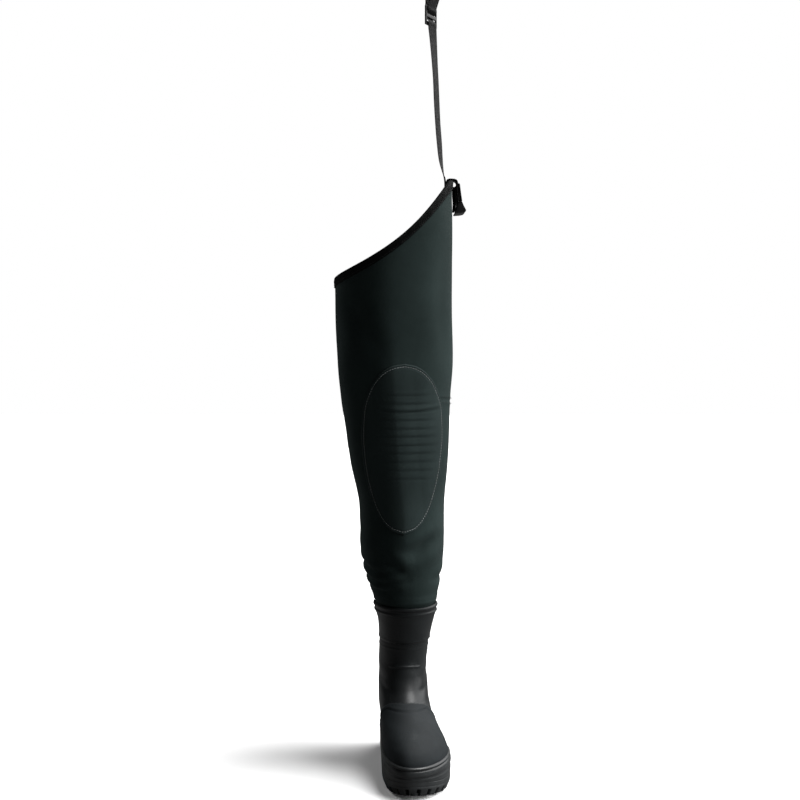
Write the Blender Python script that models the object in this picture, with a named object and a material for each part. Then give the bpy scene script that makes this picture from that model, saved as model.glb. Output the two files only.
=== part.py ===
"""Left hip wader: a neoprene leg on a moulded rubber boot, with its hanger strap.

Metres, +Z up. The toe points to -Y and the outer side of the leg is at +X.
The origin is the middle of the heel's flat resting face.
"""

import math
from collections import namedtuple

import bmesh
import bpy
from mathutils import Vector

# Clearances and walls
GAP = 0.0003
CURVED_GAP = 0.0004
RIM_CLEARANCE = 0.0008
RUBBER_WALL = 0.0025
NEOPRENE_WALL = 0.004
OVERLAY_WALL = 0.0014
PAD_WALL = 0.0026
BINDING_WALL = 0.0012

# The boot
BOOT_LENGTH = 0.283
HEEL_REACH = 0.038
BALL_WIDTH = 0.100
HEEL_WIDTH = 0.072
INSTEP_HEIGHT = 0.107
BOOT_HEIGHT = 0.245
ANKLE_WIDTH = 0.075
CUFF_WIDTH = 0.0996
CUFF_REACH = 0.096
TUCK_DEPTH = 0.036

# The sole
SOLE_THICKNESS = 0.019
HEEL_LIFT = 0.007
TOE_SPRING = 0.010
ARCH_RISE = 0.008
SOLE_MARGIN = 0.0042
SOLE_TAPER = 0.0035
FOXING_TOP = 0.048
INSOLE_THICKNESS = 0.004
LUG_PITCH = 0.018
LUG_NOTCH_WIDTH = 0.0052
LUG_NOTCH_HEIGHT = 0.0085
LUG_NOTCH_DEPTH = 0.0075
GROOVE_WIDTH = 0.0045
GROOVE_DEPTH = 0.0035
GROOVE_END = 0.004
CUTTER_OVERHANG = 0.004

# The leg
THIGH_WIDTH = 0.188
THIGH_DEPTH = 0.221
LEG_BASE = 0.258
CROTCH_HEIGHT = 0.765
PEAK_HEIGHT = 0.9215
RIM_BLEND_HEIGHT = 0.600
RIM_STRAIGHT = 0.42
RIM_POWER = 2.5
CREASE_HEIGHT = 0.0040
CREASE_RISE = 0.050
BINDING_DEPTH = 0.0135

# The knee pad
PAD_BOTTOM = 0.361
PAD_HEIGHT = 0.262
PAD_WIDTH = 0.126
PAD_INWARD = 0.0045

# Webbing, slider and buckle
WEBBING_WIDTH = 0.025
WEBBING_WALL = 0.0016
SLIDER_HEIGHT = 0.031
SLIDER_WIDTH = 0.033
SLIDER_WALL = 0.0030
SLIDER_BAR = 0.0060
SLIDER_BOTTOM = 1.172
LOOP_HEIGHT = 0.069
LOOP_SPREAD = 0.0125
LOOP_LEAN = 0.30
BUCKLE_WIDTH = 0.033
BUCKLE_TUCK = 0.0014
BODY_ROUNDING = 0.0007
PLUG_ROUNDING = 0.0006
PLUG_NARROWER = 0.003
SLOT_CLEARANCE = 0.001
END_LENGTH = 0.002

# Facets round the boot and the leg
BOOT_FACETS = 40
LEG_FACETS = 36

TOE_REACH = BOOT_LENGTH - HEEL_REACH

# Plan of the last: share of the length from the heel, inner and outer reach as shares of the named width
PlanRow = namedtuple("PlanRow", "along inner outer width")
PLAN = (
    PlanRow(0.00, 0.460, 0.500, HEEL_WIDTH),
    PlanRow(0.14, 0.460, 0.500, HEEL_WIDTH),
    PlanRow(0.42, 0.345, 0.400, BALL_WIDTH),
    PlanRow(0.66, 0.365, 0.610, BALL_WIDTH),
    PlanRow(0.80, 0.370, 0.600, BALL_WIDTH),
    PlanRow(1.00, 0.360, 0.560, BALL_WIDTH),
)
HEEL_CAP = 0.12
TOE_CAP_START = 0.66
TOE_CAP_POWER_INNER = 2.3
TOE_CAP_POWER_OUTER = 2.0

# Foot: height as a share of the instep, back of the heel's reach, front of the toe's reach, width of the plan,
# weight of the oval shaft form, the oval's width as a share of the ankle and its lean as a share of the cuff
FootRow = namedtuple("FootRow", "height back front plan oval ankle lean")
FOOT = (
    FootRow(0.19, 0.890, 0.974, 0.955, 0.00, 1.10, -0.005),
    FootRow(0.33, 0.905, 0.982, 0.970, 0.00, 1.10, -0.005),
    FootRow(0.45, 0.920, 0.970, 0.965, 0.06, 1.14, -0.015),
    FootRow(0.56, 0.935, 0.935, 0.930, 0.18, 1.18, -0.030),
    FootRow(0.65, 0.940, 0.875, 0.870, 0.34, 1.18, -0.035),
    FootRow(0.735, 0.938, 0.785, 0.800, 0.50, 1.17, -0.035),
    FootRow(0.81, 0.930, 0.690, 0.750, 0.66, 1.14, -0.030),
    FootRow(0.90, 0.915, 0.603, 0.710, 0.82, 1.10, -0.022),
    FootRow(1.00, 0.900, 0.525, 0.680, 0.95, 1.05, -0.014),
)

# Shaft: height as a share of the rise from instep to cuff, back of the heel's reach, front of the cuff's reach,
# width from ankle at 0 to cuff at 1, and sideways lean as a share of the cuff's width
ShaftRow = namedtuple("ShaftRow", "height back front flare lean")
SHAFT = (
    ShaftRow(0.11, 0.890, 1.135, 0.08, -0.010),
    ShaftRow(0.24, 0.890, 1.000, 0.00, -0.012),
    ShaftRow(0.42, 0.925, 0.910, 0.07, -0.002),
    ShaftRow(0.575, 0.965, 0.895, 0.13, 0.013),
    ShaftRow(0.60, 0.985, 0.905, 0.22, 0.019),
    ShaftRow(0.72, 1.010, 0.918, 0.40, 0.032),
    ShaftRow(0.855, 1.055, 0.955, 0.70, 0.040),
    ShaftRow(0.92, 1.085, 0.980, 0.94, 0.040),
    ShaftRow(1.00, 1.105, 1.000, 1.00, 0.037),
)

# Leg: height as a share of the rise from its base to the crotch, width and sideways centre as shares of the
# thigh's width, front and back as shares of the thigh's depth, and the front crease's place across the width
LegRow = namedtuple("LegRow", "height width centre front back crease")
LEG = (
    LegRow(0.00, 0.536, 0.017, 0.440, 0.204, 0.00),
    LegRow(0.05, 0.608, 0.004, 0.460, 0.220, -0.05),
    LegRow(0.16, 0.702, -0.005, 0.471, 0.249, -0.06),
    LegRow(0.28, 0.729, -0.011, 0.467, 0.281, -0.06),
    LegRow(0.39, 0.806, -0.027, 0.489, 0.281, -0.06),
    LegRow(0.50, 0.872, -0.048, 0.516, 0.281, -0.04),
    LegRow(0.62, 0.941, -0.064, 0.534, 0.326, -0.08),
    LegRow(0.73, 0.981, -0.069, 0.552, 0.380, -0.12),
    LegRow(0.95, 1.000, -0.080, 0.557, 0.443, -0.12),
    LegRow(1.30, 1.000, -0.080, 0.557, 0.443, -0.12),
)
LEG_RING_SHARES = (0.02, 0.05, 0.10, 0.165, 0.24, 0.33, 0.42, 0.505, 0.59, 0.675, 0.76, 0.845, 0.925)
SECTION_SQUARENESS = 0.94
CREASE_SPREAD = 0.34

# Egg outline of the knee pad: height as a share of the pad's height, half width as a share of its width
PadRow = namedtuple("PadRow", "height half")
PAD = (
    PadRow(0.000, 0.000),
    PadRow(0.025, 0.140),
    PadRow(0.100, 0.275),
    PadRow(0.220, 0.375),
    PadRow(0.400, 0.465),
    PadRow(0.580, 0.500),
    PadRow(0.740, 0.478),
    PadRow(0.870, 0.390),
    PadRow(0.950, 0.265),
    PadRow(0.988, 0.135),
    PadRow(1.000, 0.000),
)


# Small mathematics

def mix(a, b, share):
    return a + (b - a) * share


def smooth_table(keys, values, at):
    """Value at a place on a smooth curve through a table's rows, without overshoot."""
    if at <= keys[0]:
        return values[0]
    if at >= keys[-1]:
        return values[-1]
    last = len(keys) - 1
    step = next(i for i in range(last) if at <= keys[i + 1])
    steep = [(values[i + 1] - values[i]) / (keys[i + 1] - keys[i]) for i in range(last)]

    def slope(i):
        if i == 0 or i == last:
            return steep[min(i, last - 1)]
        before, after = steep[i - 1], steep[i]
        if before * after <= 0:
            return 0.0
        return 2 * before * after / (before + after)

    span = keys[step + 1] - keys[step]
    t = (at - keys[step]) / span
    start = (1 + 2 * t) * (1 - t) ** 2 * values[step] + t * (1 - t) ** 2 * span * slope(step)
    end = t * t * (3 - 2 * t) * values[step + 1] + t * t * (t - 1) * span * slope(step + 1)
    return start + end


def table_lookup(rows, key, column, at):
    return smooth_table([getattr(row, key) for row in rows], [getattr(row, column) for row in rows], at)


def signed_power(value, power):
    return math.copysign(abs(value) ** power, value)


def turn_angles(facets):
    """Angles round a section: 0 at the front, a quarter turn at the outer side."""
    return [2 * math.pi * i / facets for i in range(facets)]


# The boot's surface

def plan_reach(along, outer):
    """Sideways reach of the last's plan at a share of the length, on one side."""
    keys = [row.along for row in PLAN]
    sides = [(row.outer if outer else row.inner) * row.width for row in PLAN]
    reach = smooth_table(keys, sides, along)
    if along < HEEL_CAP:
        reach *= math.sqrt(max(0.0, 1 - (1 - along / HEEL_CAP) ** 2))
    if along > TOE_CAP_START:
        power = TOE_CAP_POWER_OUTER if outer else TOE_CAP_POWER_INNER
        share = (along - TOE_CAP_START) / (1 - TOE_CAP_START)
        reach *= max(0.0, 1 - share ** power) ** (1 / power)
    return reach


BootSection = namedtuple("BootSection", "height back front plan oval width lean")


def boot_sections():
    """Both tables in metres, from the sole to the cuff."""
    sections = []
    for row in FOOT:
        sections.append(BootSection(row.height * INSTEP_HEIGHT, row.back * HEEL_REACH, row.front * TOE_REACH,
                                    row.plan, row.oval, row.ankle * ANKLE_WIDTH, row.lean * CUFF_WIDTH))
    for row in SHAFT:
        sections.append(BootSection(mix(INSTEP_HEIGHT, BOOT_HEIGHT, row.height), row.back * HEEL_REACH,
                                    row.front * CUFF_REACH, FOOT[-1].plan, 1.0,
                                    mix(ANKLE_WIDTH, CUFF_WIDTH, row.flare), row.lean * CUFF_WIDTH))
    return sections


BOOT_SECTIONS = boot_sections()


def boot_point(angle, height):
    """Point on the boot's outer surface."""
    back, front, plan, oval, width, lean = (
        table_lookup(BOOT_SECTIONS, "height", column, height)
        for column in ("back", "front", "plan", "oval", "width", "lean")
    )
    along = (1 + math.cos(angle)) / 2
    side = math.sin(angle)
    foot = math.copysign(plan_reach(along, side > 0) * plan, side) if abs(side) > 1e-9 else 0.0
    shaft = lean * abs(side) + width / 2 * side
    return Vector((mix(foot, shaft, oval), back - along * (back + front), height))


def bed_height(y):
    """Top of the outsole under the foot: high at the heel, low at the ball, up again at the toe."""
    share = (HEEL_REACH - y) / BOOT_LENGTH
    heel = HEEL_LIFT * smooth_table((0.0, 0.25, 0.55, 1.0), (1.0, 1.0, 0.0, 0.0), share)
    return SOLE_THICKNESS + heel + ground_height(y)


def ground_height(y):
    """Underside of the outsole: flat, then up to the toe spring."""
    share = (HEEL_REACH - y) / BOOT_LENGTH
    lift = max(0.0, share - 0.76) / 0.24
    return TOE_SPRING * min(lift, 1.1) ** 1.7


def boot_ring_heights():
    """Heights of the boot's rings above the first one, which follows the bed."""
    low = [0.33 * INSTEP_HEIGHT, FOXING_TOP]
    foot = [share * INSTEP_HEIGHT for share in (0.53, 0.60, 0.665, 0.725, 0.785, 0.845, 0.91, 1.0)]
    shaft = [mix(INSTEP_HEIGHT, BOOT_HEIGHT, share) for share in
             (0.12, 0.26, 0.42, 0.565, 0.60, 0.72, 0.855, 0.92, 1.0)]
    return low + foot + shaft


def boot_rings():
    """The boot's outer surface as rings of points, from the sole to the cuff."""
    base_height = BOOT_SECTIONS[0].height
    rings = []
    base = []
    for angle in turn_angles(BOOT_FACETS):
        point = boot_point(angle, base_height)
        point.z = bed_height(point.y) + CURVED_GAP
        base.append(point)
    rings.append(base)
    for height in boot_ring_heights():
        rings.append([boot_point(angle, height) for angle in turn_angles(BOOT_FACETS)])
    return rings


def ring_normals(rings):
    """Outward direction at each point of closed rings; level at the first and the last ring."""
    count = len(rings[0])
    last = len(rings) - 1
    normals = []
    for j, ring in enumerate(rings):
        row = []
        for i in range(count):
            round_way = ring[(i + 1) % count] - ring[i - 1]
            up_way = rings[min(j + 1, last)][i] - rings[max(j - 1, 0)][i]
            normal = round_way.cross(up_way)
            if j in (0, last):
                normal = round_way.cross(Vector((0, 0, 1)))
            row.append(normal.normalized())
        normals.append(row)
    return normals


def offset_rings(rings, distance):
    """Rings moved along their outward directions."""
    normals = ring_normals(rings)
    return [[point + normal * distance for point, normal in zip(ring, row)]
            for ring, row in zip(rings, normals)]


# The leg's surface

def leg_section(height):
    """Width, centre, front, back and crease at a height, in metres but for the crease."""
    share = (height - LEG_BASE) / (CROTCH_HEIGHT - LEG_BASE)
    width = table_lookup(LEG, "height", "width", share) * THIGH_WIDTH
    centre = table_lookup(LEG, "height", "centre", share) * THIGH_WIDTH
    front = table_lookup(LEG, "height", "front", share) * THIGH_DEPTH
    back = table_lookup(LEG, "height", "back", share) * THIGH_DEPTH
    crease = table_lookup(LEG, "height", "crease", share)
    return width, centre, front, back, crease


def leg_point(angle, height):
    """Point on the neoprene's outer surface, with the soft crease down its front."""
    width, centre, front, back, crease = leg_section(height)
    across = signed_power(math.sin(angle), SECTION_SQUARENESS)
    along = signed_power(math.cos(angle), SECTION_SQUARENESS)
    ridge = math.exp(-((across - 2 * crease) / CREASE_SPREAD) ** 2) if math.cos(angle) > 0 else 0.0
    rise = min(1.0, max(0.0, (height - LEG_BASE) / CREASE_RISE))
    y = (back - front) / 2 - along * (front + back) / 2 - CREASE_HEIGHT * rise * ridge * max(0.0, along)
    return Vector((centre + width / 2 * across, y, height))


def rim_height(angle):
    """Height of the collar's finished edge, low at the crotch and high at the outer peak."""
    across = (1 + signed_power(math.sin(angle), SECTION_SQUARENESS)) / 2
    share = RIM_STRAIGHT * across + (1 - RIM_STRAIGHT) * across ** RIM_POWER
    return mix(CROTCH_HEIGHT, PEAK_HEIGHT, share)


def leg_rings():
    """The leg's outer surface, from its hidden end in the boot to the collar."""
    shrink = RUBBER_WALL + GAP + CURVED_GAP
    tuck = []
    for share in (0.0, 0.4, 0.8):
        height = BOOT_HEIGHT - TUCK_DEPTH * (1 - share)
        tuck.append([boot_point(angle, height) for angle in turn_angles(LEG_FACETS)])
    lift = Vector((0, 0, 2 * GAP))
    tuck.append([boot_point(angle, BOOT_HEIGHT) + lift for angle in turn_angles(LEG_FACETS)])
    tuck = [[point + normal * -shrink for point, normal in zip(ring, row)]
            for ring, row in zip(tuck, ring_normals_level(tuck))]
    rings = list(tuck)
    for share in LEG_RING_SHARES:
        height = mix(BOOT_HEIGHT, RIM_BLEND_HEIGHT, share)
        rings.append([leg_point(angle, height) for angle in turn_angles(LEG_FACETS)])
    top_drop = BINDING_WALL + RIM_CLEARANCE
    for share in (0.0, 0.25, 0.5, 0.76, 1.0):
        ring = []
        for angle in turn_angles(LEG_FACETS):
            height = mix(RIM_BLEND_HEIGHT, rim_height(angle) - top_drop, share)
            ring.append(leg_point(angle, height))
        rings.append(ring)
    return rings


def ring_normals_level(rings):
    """Outward directions that stay level, for near upright walls."""
    count = len(rings[0])
    rows = []
    for ring in rings:
        row = []
        for i in range(count):
            round_way = ring[(i + 1) % count] - ring[i - 1]
            row.append(round_way.cross(Vector((0, 0, 1))).normalized())
        rows.append(row)
    return rows


# Meshes

def finish_mesh(bm, name, finish):
    bmesh.ops.recalc_face_normals(bm, faces=bm.faces)
    mesh = bpy.data.meshes.new(name)
    bm.to_mesh(mesh)
    bm.free()
    mesh.shade_smooth()
    mesh.set_sharp_from_angle(angle=math.radians(35))
    mesh.materials.append(finish)
    piece = bpy.data.objects.new(name, mesh)
    bpy.context.scene.collection.objects.link(piece)
    return piece


def loft(name, rings, finish, closed=False):
    """Closed solid through rings of points: a loop of rings, or a bar with its two ends filled."""
    bm = bmesh.new()
    loops = [[bm.verts.new(point) for point in ring] for ring in rings]
    pairs = list(zip(loops, loops[1:]))
    if closed:
        pairs.append((loops[-1], loops[0]))
    count = len(rings[0])
    for low, high in pairs:
        for i in range(count):
            k = (i + 1) % count
            bm.faces.new((low[i], low[k], high[k], high[i]))
    if not closed:
        bm.faces.new(loops[0])
        bm.faces.new(loops[-1])
    return finish_mesh(bm, name, finish)


def shell(name, outer, inner, finish):
    """Tube with a wall between two sets of rings, open at both ends.

    Every patch of both skins is split along the same diagonal, so that neighbours over one surface stay parallel.
    """
    bm = bmesh.new()
    skins = [[[bm.verts.new(point) for point in ring] for ring in rings] for rings in (outer, inner)]
    count = len(outer[0])
    for skin in skins:
        for low, high in zip(skin, skin[1:]):
            for i in range(count):
                k = (i + 1) % count
                bm.faces.new((low[i], low[k], high[k]))
                bm.faces.new((low[i], high[k], high[i]))
    for near, far in ((skins[0][0], skins[1][0]), (skins[0][-1], skins[1][-1])):
        for i in range(count):
            k = (i + 1) % count
            bm.faces.new((near[i], near[k], far[k], far[i]))
    return finish_mesh(bm, name, finish)


def prism(name, outline, depth_axis, start, end, finish):
    """Flat outline pushed along one axis; its points are pairs on the other two axes."""
    bm = bmesh.new()
    verts = []
    for a, b in outline:
        spot = [a, b]
        spot.insert(depth_axis, start)
        verts.append(bm.verts.new(spot))
    face = bm.faces.new(verts)
    pushed = bmesh.ops.extrude_face_region(bm, geom=[face])
    way = [0.0, 0.0, 0.0]
    way[depth_axis] = end - start
    moved = [item for item in pushed["geom"] if isinstance(item, bmesh.types.BMVert)]
    bmesh.ops.translate(bm, vec=way, verts=moved)
    return finish_mesh(bm, name, finish)


def hide_cutter(piece):
    piece.hide_render = True
    piece.display_type = "WIRE"
    return piece


def cut(piece, cutter, operation):
    modifier = piece.modifiers.new("Cut", "BOOLEAN")
    modifier.operation = operation
    modifier.solver = "EXACT"
    modifier.object = hide_cutter(cutter)


def round_edges(piece, radius, segments=1):
    modifier = piece.modifiers.new("Round", "BEVEL")
    modifier.width = radius
    modifier.segments = segments
    modifier.limit_method = "ANGLE"
    modifier.angle_limit = math.radians(40)


def material(name, colour, roughness, metallic=0.0):
    finish = bpy.data.materials.new(name)
    finish.use_nodes = True
    shader = finish.node_tree.nodes["Principled BSDF"]
    shader.inputs["Base Color"].default_value = (*colour, 1.0)
    shader.inputs["Roughness"].default_value = roughness
    shader.inputs["Metallic"].default_value = metallic
    return finish


# Boot pieces

def make_boot_upper(rings):
    inner = offset_rings(rings, -RUBBER_WALL)
    return shell("boot_upper", rings, inner, material("boot_rubber", (0.012, 0.014, 0.015), 0.38))


# Foxing: height as a share of its own, way out as a share of the sole's margin
FoxingRow = namedtuple("FoxingRow", "height out")
FOXING = (
    FoxingRow(0.00, 1.00),
    FoxingRow(0.28, 1.00),
    FoxingRow(0.36, 0.74),
    FoxingRow(0.46, 0.74),
    FoxingRow(0.54, 1.02),
    FoxingRow(0.74, 0.98),
    FoxingRow(0.82, 0.70),
    FoxingRow(0.87, 1.00),
    FoxingRow(0.96, 0.92),
    FoxingRow(1.00, 0.40),
)


def make_foxing(rings):
    """Band round the foot: flush foot, groove, and a bead along its top."""
    low, middle, top = rings[0], rings[1], rings[2]
    level = ring_normals_level([low])[0]
    columns = []

    def wall(i, share):
        half = min(1, int(share * 2))
        pair = (low[i], middle[i]) if half == 0 else (middle[i], top[i])
        return pair[0].lerp(pair[1], share * 2 - half)

    for i in range(BOOT_FACETS):
        outer = [wall(i, row.height) + level[i] * row.out * SOLE_MARGIN for row in FOXING]
        inner = [wall(i, share) + level[i] * CURVED_GAP for share in (1.0, 0.5, 0.0)]
        for point in (outer[0], inner[-1]):
            point.z = bed_height(point.y) + CURVED_GAP
        columns.append(outer + inner)
    return loft("foxing", columns, material("foxing_rubber", (0.016, 0.018, 0.018), 0.45), closed=True)


def make_insole(rings):
    inset = RUBBER_WALL + 3 * GAP
    base = rings[0]
    level = ring_normals_level([base])[0]
    outline = [point - way * inset for point, way in zip(base, level)]
    top = [point + Vector((0, 0, INSOLE_THICKNESS)) for point in outline]
    return ladder("insole", (outline, top), material("insole_foam", (0.05, 0.05, 0.052), 0.9))


def ladder(name, loops, finish):
    """Solid through outlines whose points pair across the foot; its two faces are rungs of quads."""
    count = len(loops[0])
    bm = bmesh.new()
    rings = [[bm.verts.new(point) for point in loop] for loop in loops]
    for ring in (rings[0], rings[-1]):
        for i in range(count // 2):
            corners = [ring[i], ring[i + 1], ring[(count - i - 1) % count], ring[(count - i) % count]]
            bm.faces.new(list(dict.fromkeys(corners)))
    for low, high in zip(rings, rings[1:]):
        for i in range(count):
            k = (i + 1) % count
            bm.faces.new((low[i], low[k], high[k], high[i]))
    return finish_mesh(bm, name, finish)


def sole_outline(rings, margin):
    base = rings[0]
    level = ring_normals_level([base])[0]
    return [point + way * margin for point, way in zip(base, level)]


def make_outsole(rings):
    """Outsole with heel, arch and toe spring, side lugs and a grooved tread."""
    outline = sole_outline(rings, SOLE_MARGIN)
    tread = sole_outline(rings, SOLE_MARGIN - SOLE_TAPER)
    low = [Vector((p.x, p.y, ground_height(p.y))) for p in tread]
    middle = [Vector((p.x, p.y, ground_height(p.y) + LUG_NOTCH_HEIGHT * 1.2)) for p in outline]
    high = [Vector((p.x, p.y, bed_height(p.y))) for p in outline]
    rubber = material("outsole_rubber", (0.013, 0.014, 0.014), 0.55)
    piece = ladder("outsole", (low, middle, high), rubber)

    heel_breast = -0.96 * HEEL_REACH
    ball_edge = HEEL_REACH - 0.44 * BOOT_LENGTH
    arch = prism("arch_cutter", (
        (heel_breast, -CUTTER_OVERHANG),
        (heel_breast, 0.0),
        (heel_breast - 0.4 * ARCH_RISE, ARCH_RISE),
        (ball_edge + 1.2 * ARCH_RISE, ARCH_RISE),
        (ball_edge, 0.0),
        (ball_edge, -CUTTER_OVERHANG),
    ), 0, -BALL_WIDTH, BALL_WIDTH, rubber)
    cut(piece, arch, "DIFFERENCE")
    cut(piece, make_lug_cutters(outline, heel_breast, ball_edge, rubber), "DIFFERENCE")
    cut(piece, make_groove_cutters(heel_breast, ball_edge, rubber), "DIFFERENCE")
    return piece


def add_block(bm, centre, along, across, up):
    """Box from its centre and three half-size vectors."""
    corners = []
    for a in (-1, 1):
        for b in (-1, 1):
            for c in (-1, 1):
                corners.append(bm.verts.new(centre + along * a + across * b + up * c))
    for quad in ((0, 1, 3, 2), (4, 6, 7, 5), (0, 4, 5, 1), (2, 3, 7, 6), (0, 2, 6, 4), (1, 5, 7, 3)):
        bm.faces.new([corners[i] for i in quad])


def make_lug_cutters(outline, heel_breast, ball_edge, finish):
    """Notches between the side lugs, evenly spaced round the outline but not along the arch."""
    count = len(outline)
    lengths = [(outline[(i + 1) % count] - outline[i]).to_2d().length for i in range(count)]
    total = sum(lengths)
    notches = round(total / LUG_PITCH)
    bm = bmesh.new()
    margin = LUG_NOTCH_WIDTH
    for n in range(notches):
        target = (n + 0.5) * total / notches
        i = 0
        while target > lengths[i]:
            target -= lengths[i]
            i += 1
        start, end = outline[i], outline[(i + 1) % count]
        spot = start.lerp(end, target / lengths[i])
        if ball_edge - margin < spot.y < heel_breast + margin:
            continue
        along = (end - start).to_2d().to_3d().normalized()
        across = along.cross(Vector((0, 0, 1)))
        top = ground_height(spot.y) + LUG_NOTCH_HEIGHT
        bottom = -CUTTER_OVERHANG
        centre = Vector((spot.x, spot.y, (top + bottom) / 2))
        add_block(bm, centre, along * LUG_NOTCH_WIDTH / 2, across * LUG_NOTCH_DEPTH,
                  Vector((0, 0, (top - bottom) / 2)))
    return finish_mesh(bm, "lug_cutter", finish)


def make_groove_cutters(heel_breast, ball_edge, finish):
    """Grooves across the tread, clear of the side lugs and of the heel's middle."""
    bm = bmesh.new()
    flat_end = HEEL_REACH - 0.76 * BOOT_LENGTH
    places = []
    y = ball_edge - LUG_PITCH
    while y > flat_end - 0.1 * BOOT_LENGTH:
        places.append(y)
        y -= LUG_PITCH
    places += [0.52 * HEEL_REACH, -0.50 * HEEL_REACH]
    for y in places:
        along_share = (HEEL_REACH - y) / BOOT_LENGTH
        inner = plan_reach(along_share, False) - LUG_NOTCH_DEPTH - GROOVE_END
        outer = plan_reach(along_share, True) - LUG_NOTCH_DEPTH - GROOVE_END
        top = ground_height(y) + GROOVE_DEPTH
        bottom = -CUTTER_OVERHANG
        centre = Vector(((outer - inner) / 2, y, (top + bottom) / 2))
        add_block(bm, centre, Vector(((outer + inner) / 2, 0, 0)), Vector((0, GROOVE_WIDTH / 2, 0)),
                  Vector((0, 0, (top - bottom) / 2)))
    return finish_mesh(bm, "groove_cutter", finish)


def overlay_shell(name, rings, first, last, finish):
    """Thin closed band over the boot's rings, from one ring to another, to be cut to its outline."""
    near = offset_rings(rings, CURVED_GAP)[first:last + 1]
    far = offset_rings(rings, CURVED_GAP + OVERLAY_WALL)[first:last + 1]
    share = 2 * GAP / (rings[first + 1][0].z - rings[first][0].z)
    for skin in (near, far):
        skin[0] = [low.lerp(high, share) for low, high in zip(skin[0], skin[1])]
    return shell(name, far, near, finish)


def make_vamp_cover(rings):
    """Raised layer over toe and vamp; its edge arches over the instep and runs down to the sole."""
    cover = overlay_shell("vamp_cover", rings, 2, 12, material("vamp_rubber", (0.014, 0.016, 0.018), 0.42))
    crown = -0.500 * TOE_REACH
    outline = (
        (-BOOT_LENGTH, 0.0),
        (-0.345 * TOE_REACH, 0.0),
        (-0.345 * TOE_REACH, 0.50 * INSTEP_HEIGHT),
        (-0.372 * TOE_REACH, 0.70 * INSTEP_HEIGHT),
        (-0.420 * TOE_REACH, 0.88 * INSTEP_HEIGHT),
        (crown, 1.02 * INSTEP_HEIGHT),
        (-BOOT_LENGTH, 1.02 * INSTEP_HEIGHT),
    )
    cut(cover, prism("vamp_cutter", outline, 0, -BALL_WIDTH, BALL_WIDTH, cover.data.materials[0]), "INTERSECT")
    return cover


def make_heel_counter(rings):
    """Raised layer round the heel, lower at the back edge of the vamp cover."""
    counter = overlay_shell("heel_counter", rings, 2, 12, material("counter_rubber", (0.013, 0.015, 0.016), 0.4))
    outline = (
        (2 * HEEL_REACH, 0.0),
        (-0.20 * TOE_REACH, 0.0),
        (-0.20 * TOE_REACH, 0.50 * INSTEP_HEIGHT),
        (-0.13 * TOE_REACH, 0.74 * INSTEP_HEIGHT),
        (0.0, 0.95 * INSTEP_HEIGHT),
        (2 * HEEL_REACH, 1.04 * INSTEP_HEIGHT),
    )
    cut(counter, prism("counter_cutter", outline, 0, -BALL_WIDTH, BALL_WIDTH, counter.data.materials[0]),
        "INTERSECT")
    return counter


# Leg pieces

def make_neoprene_leg(rings):
    inner = offset_rings(rings, -NEOPRENE_WALL)
    return shell("neoprene_leg", rings, inner, material("neoprene", (0.008, 0.012, 0.012), 0.85))


def make_collar_binding(rings):
    """Folded tape over the collar's edge, down both faces of the wall."""
    inner_rings = offset_rings(rings, -NEOPRENE_WALL)
    level = ring_normals_level([rings[-1]])[0]
    near = CURVED_GAP
    far = near + BINDING_WALL
    columns = []
    for i, way in enumerate(level):
        outer, inner = rings[-1][i], inner_rings[-1][i]
        outer_down = (rings[-2][i] - outer).normalized() * BINDING_DEPTH
        inner_down = (inner_rings[-2][i] - inner).normalized() * BINDING_DEPTH
        low, high = Vector((0, 0, RIM_CLEARANCE)), Vector((0, 0, RIM_CLEARANCE + BINDING_WALL))
        columns.append([
            outer + way * near + outer_down,
            outer + way * far + outer_down,
            outer + way * far + low,
            outer + way * (far - BINDING_WALL / 2) + high,
            inner - way * (far - BINDING_WALL / 2) + high,
            inner - way * far + low,
            inner - way * far + inner_down,
            inner - way * near + inner_down,
            inner - way * near + low,
            outer + way * near + low,
        ])
    return loft("collar_binding", columns, material("binding_tape", (0.006, 0.007, 0.007), 0.8), closed=True)


def make_knee_pad(rings):
    """Egg-shaped layer on the front of the knee, cut from a band over the leg's own surface."""
    pad_top = PAD_BOTTOM + PAD_HEIGHT
    first = max(j for j, ring in enumerate(rings) if max(p.z for p in ring) < PAD_BOTTOM)
    last = min(j for j, ring in enumerate(rings) if min(p.z for p in ring) > pad_top)
    near = offset_rings(rings, CURVED_GAP)[first:last + 1]
    far = offset_rings(rings, CURVED_GAP + PAD_WALL)[first:last + 1]
    pad = shell("knee_pad", far, near, material("pad_neoprene", (0.009, 0.014, 0.014), 0.8))
    steps = 14
    heights = [(1 - math.cos(math.pi * i / steps)) / 2 for i in range(steps + 1)]
    half = [table_lookup(PAD, "height", "half", share) * PAD_WIDTH for share in heights]
    outer = [(reach - PAD_INWARD, PAD_BOTTOM + share * PAD_HEIGHT) for share, reach in zip(heights, half)]
    inner = [(-reach - PAD_INWARD, PAD_BOTTOM + share * PAD_HEIGHT) for share, reach in zip(heights, half)]
    outline = outer + inner[-2:0:-1]
    cut(pad, prism("pad_cutter", outline, 1, -THIGH_DEPTH, -0.1 * THIGH_DEPTH, pad.data.materials[0]),
        "INTERSECT")
    return pad


# Webbing, slider and buckle

def peak_place():
    """Outer face of the neoprene at the peak."""
    return leg_point(math.pi / 2, PEAK_HEIGHT)


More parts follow.
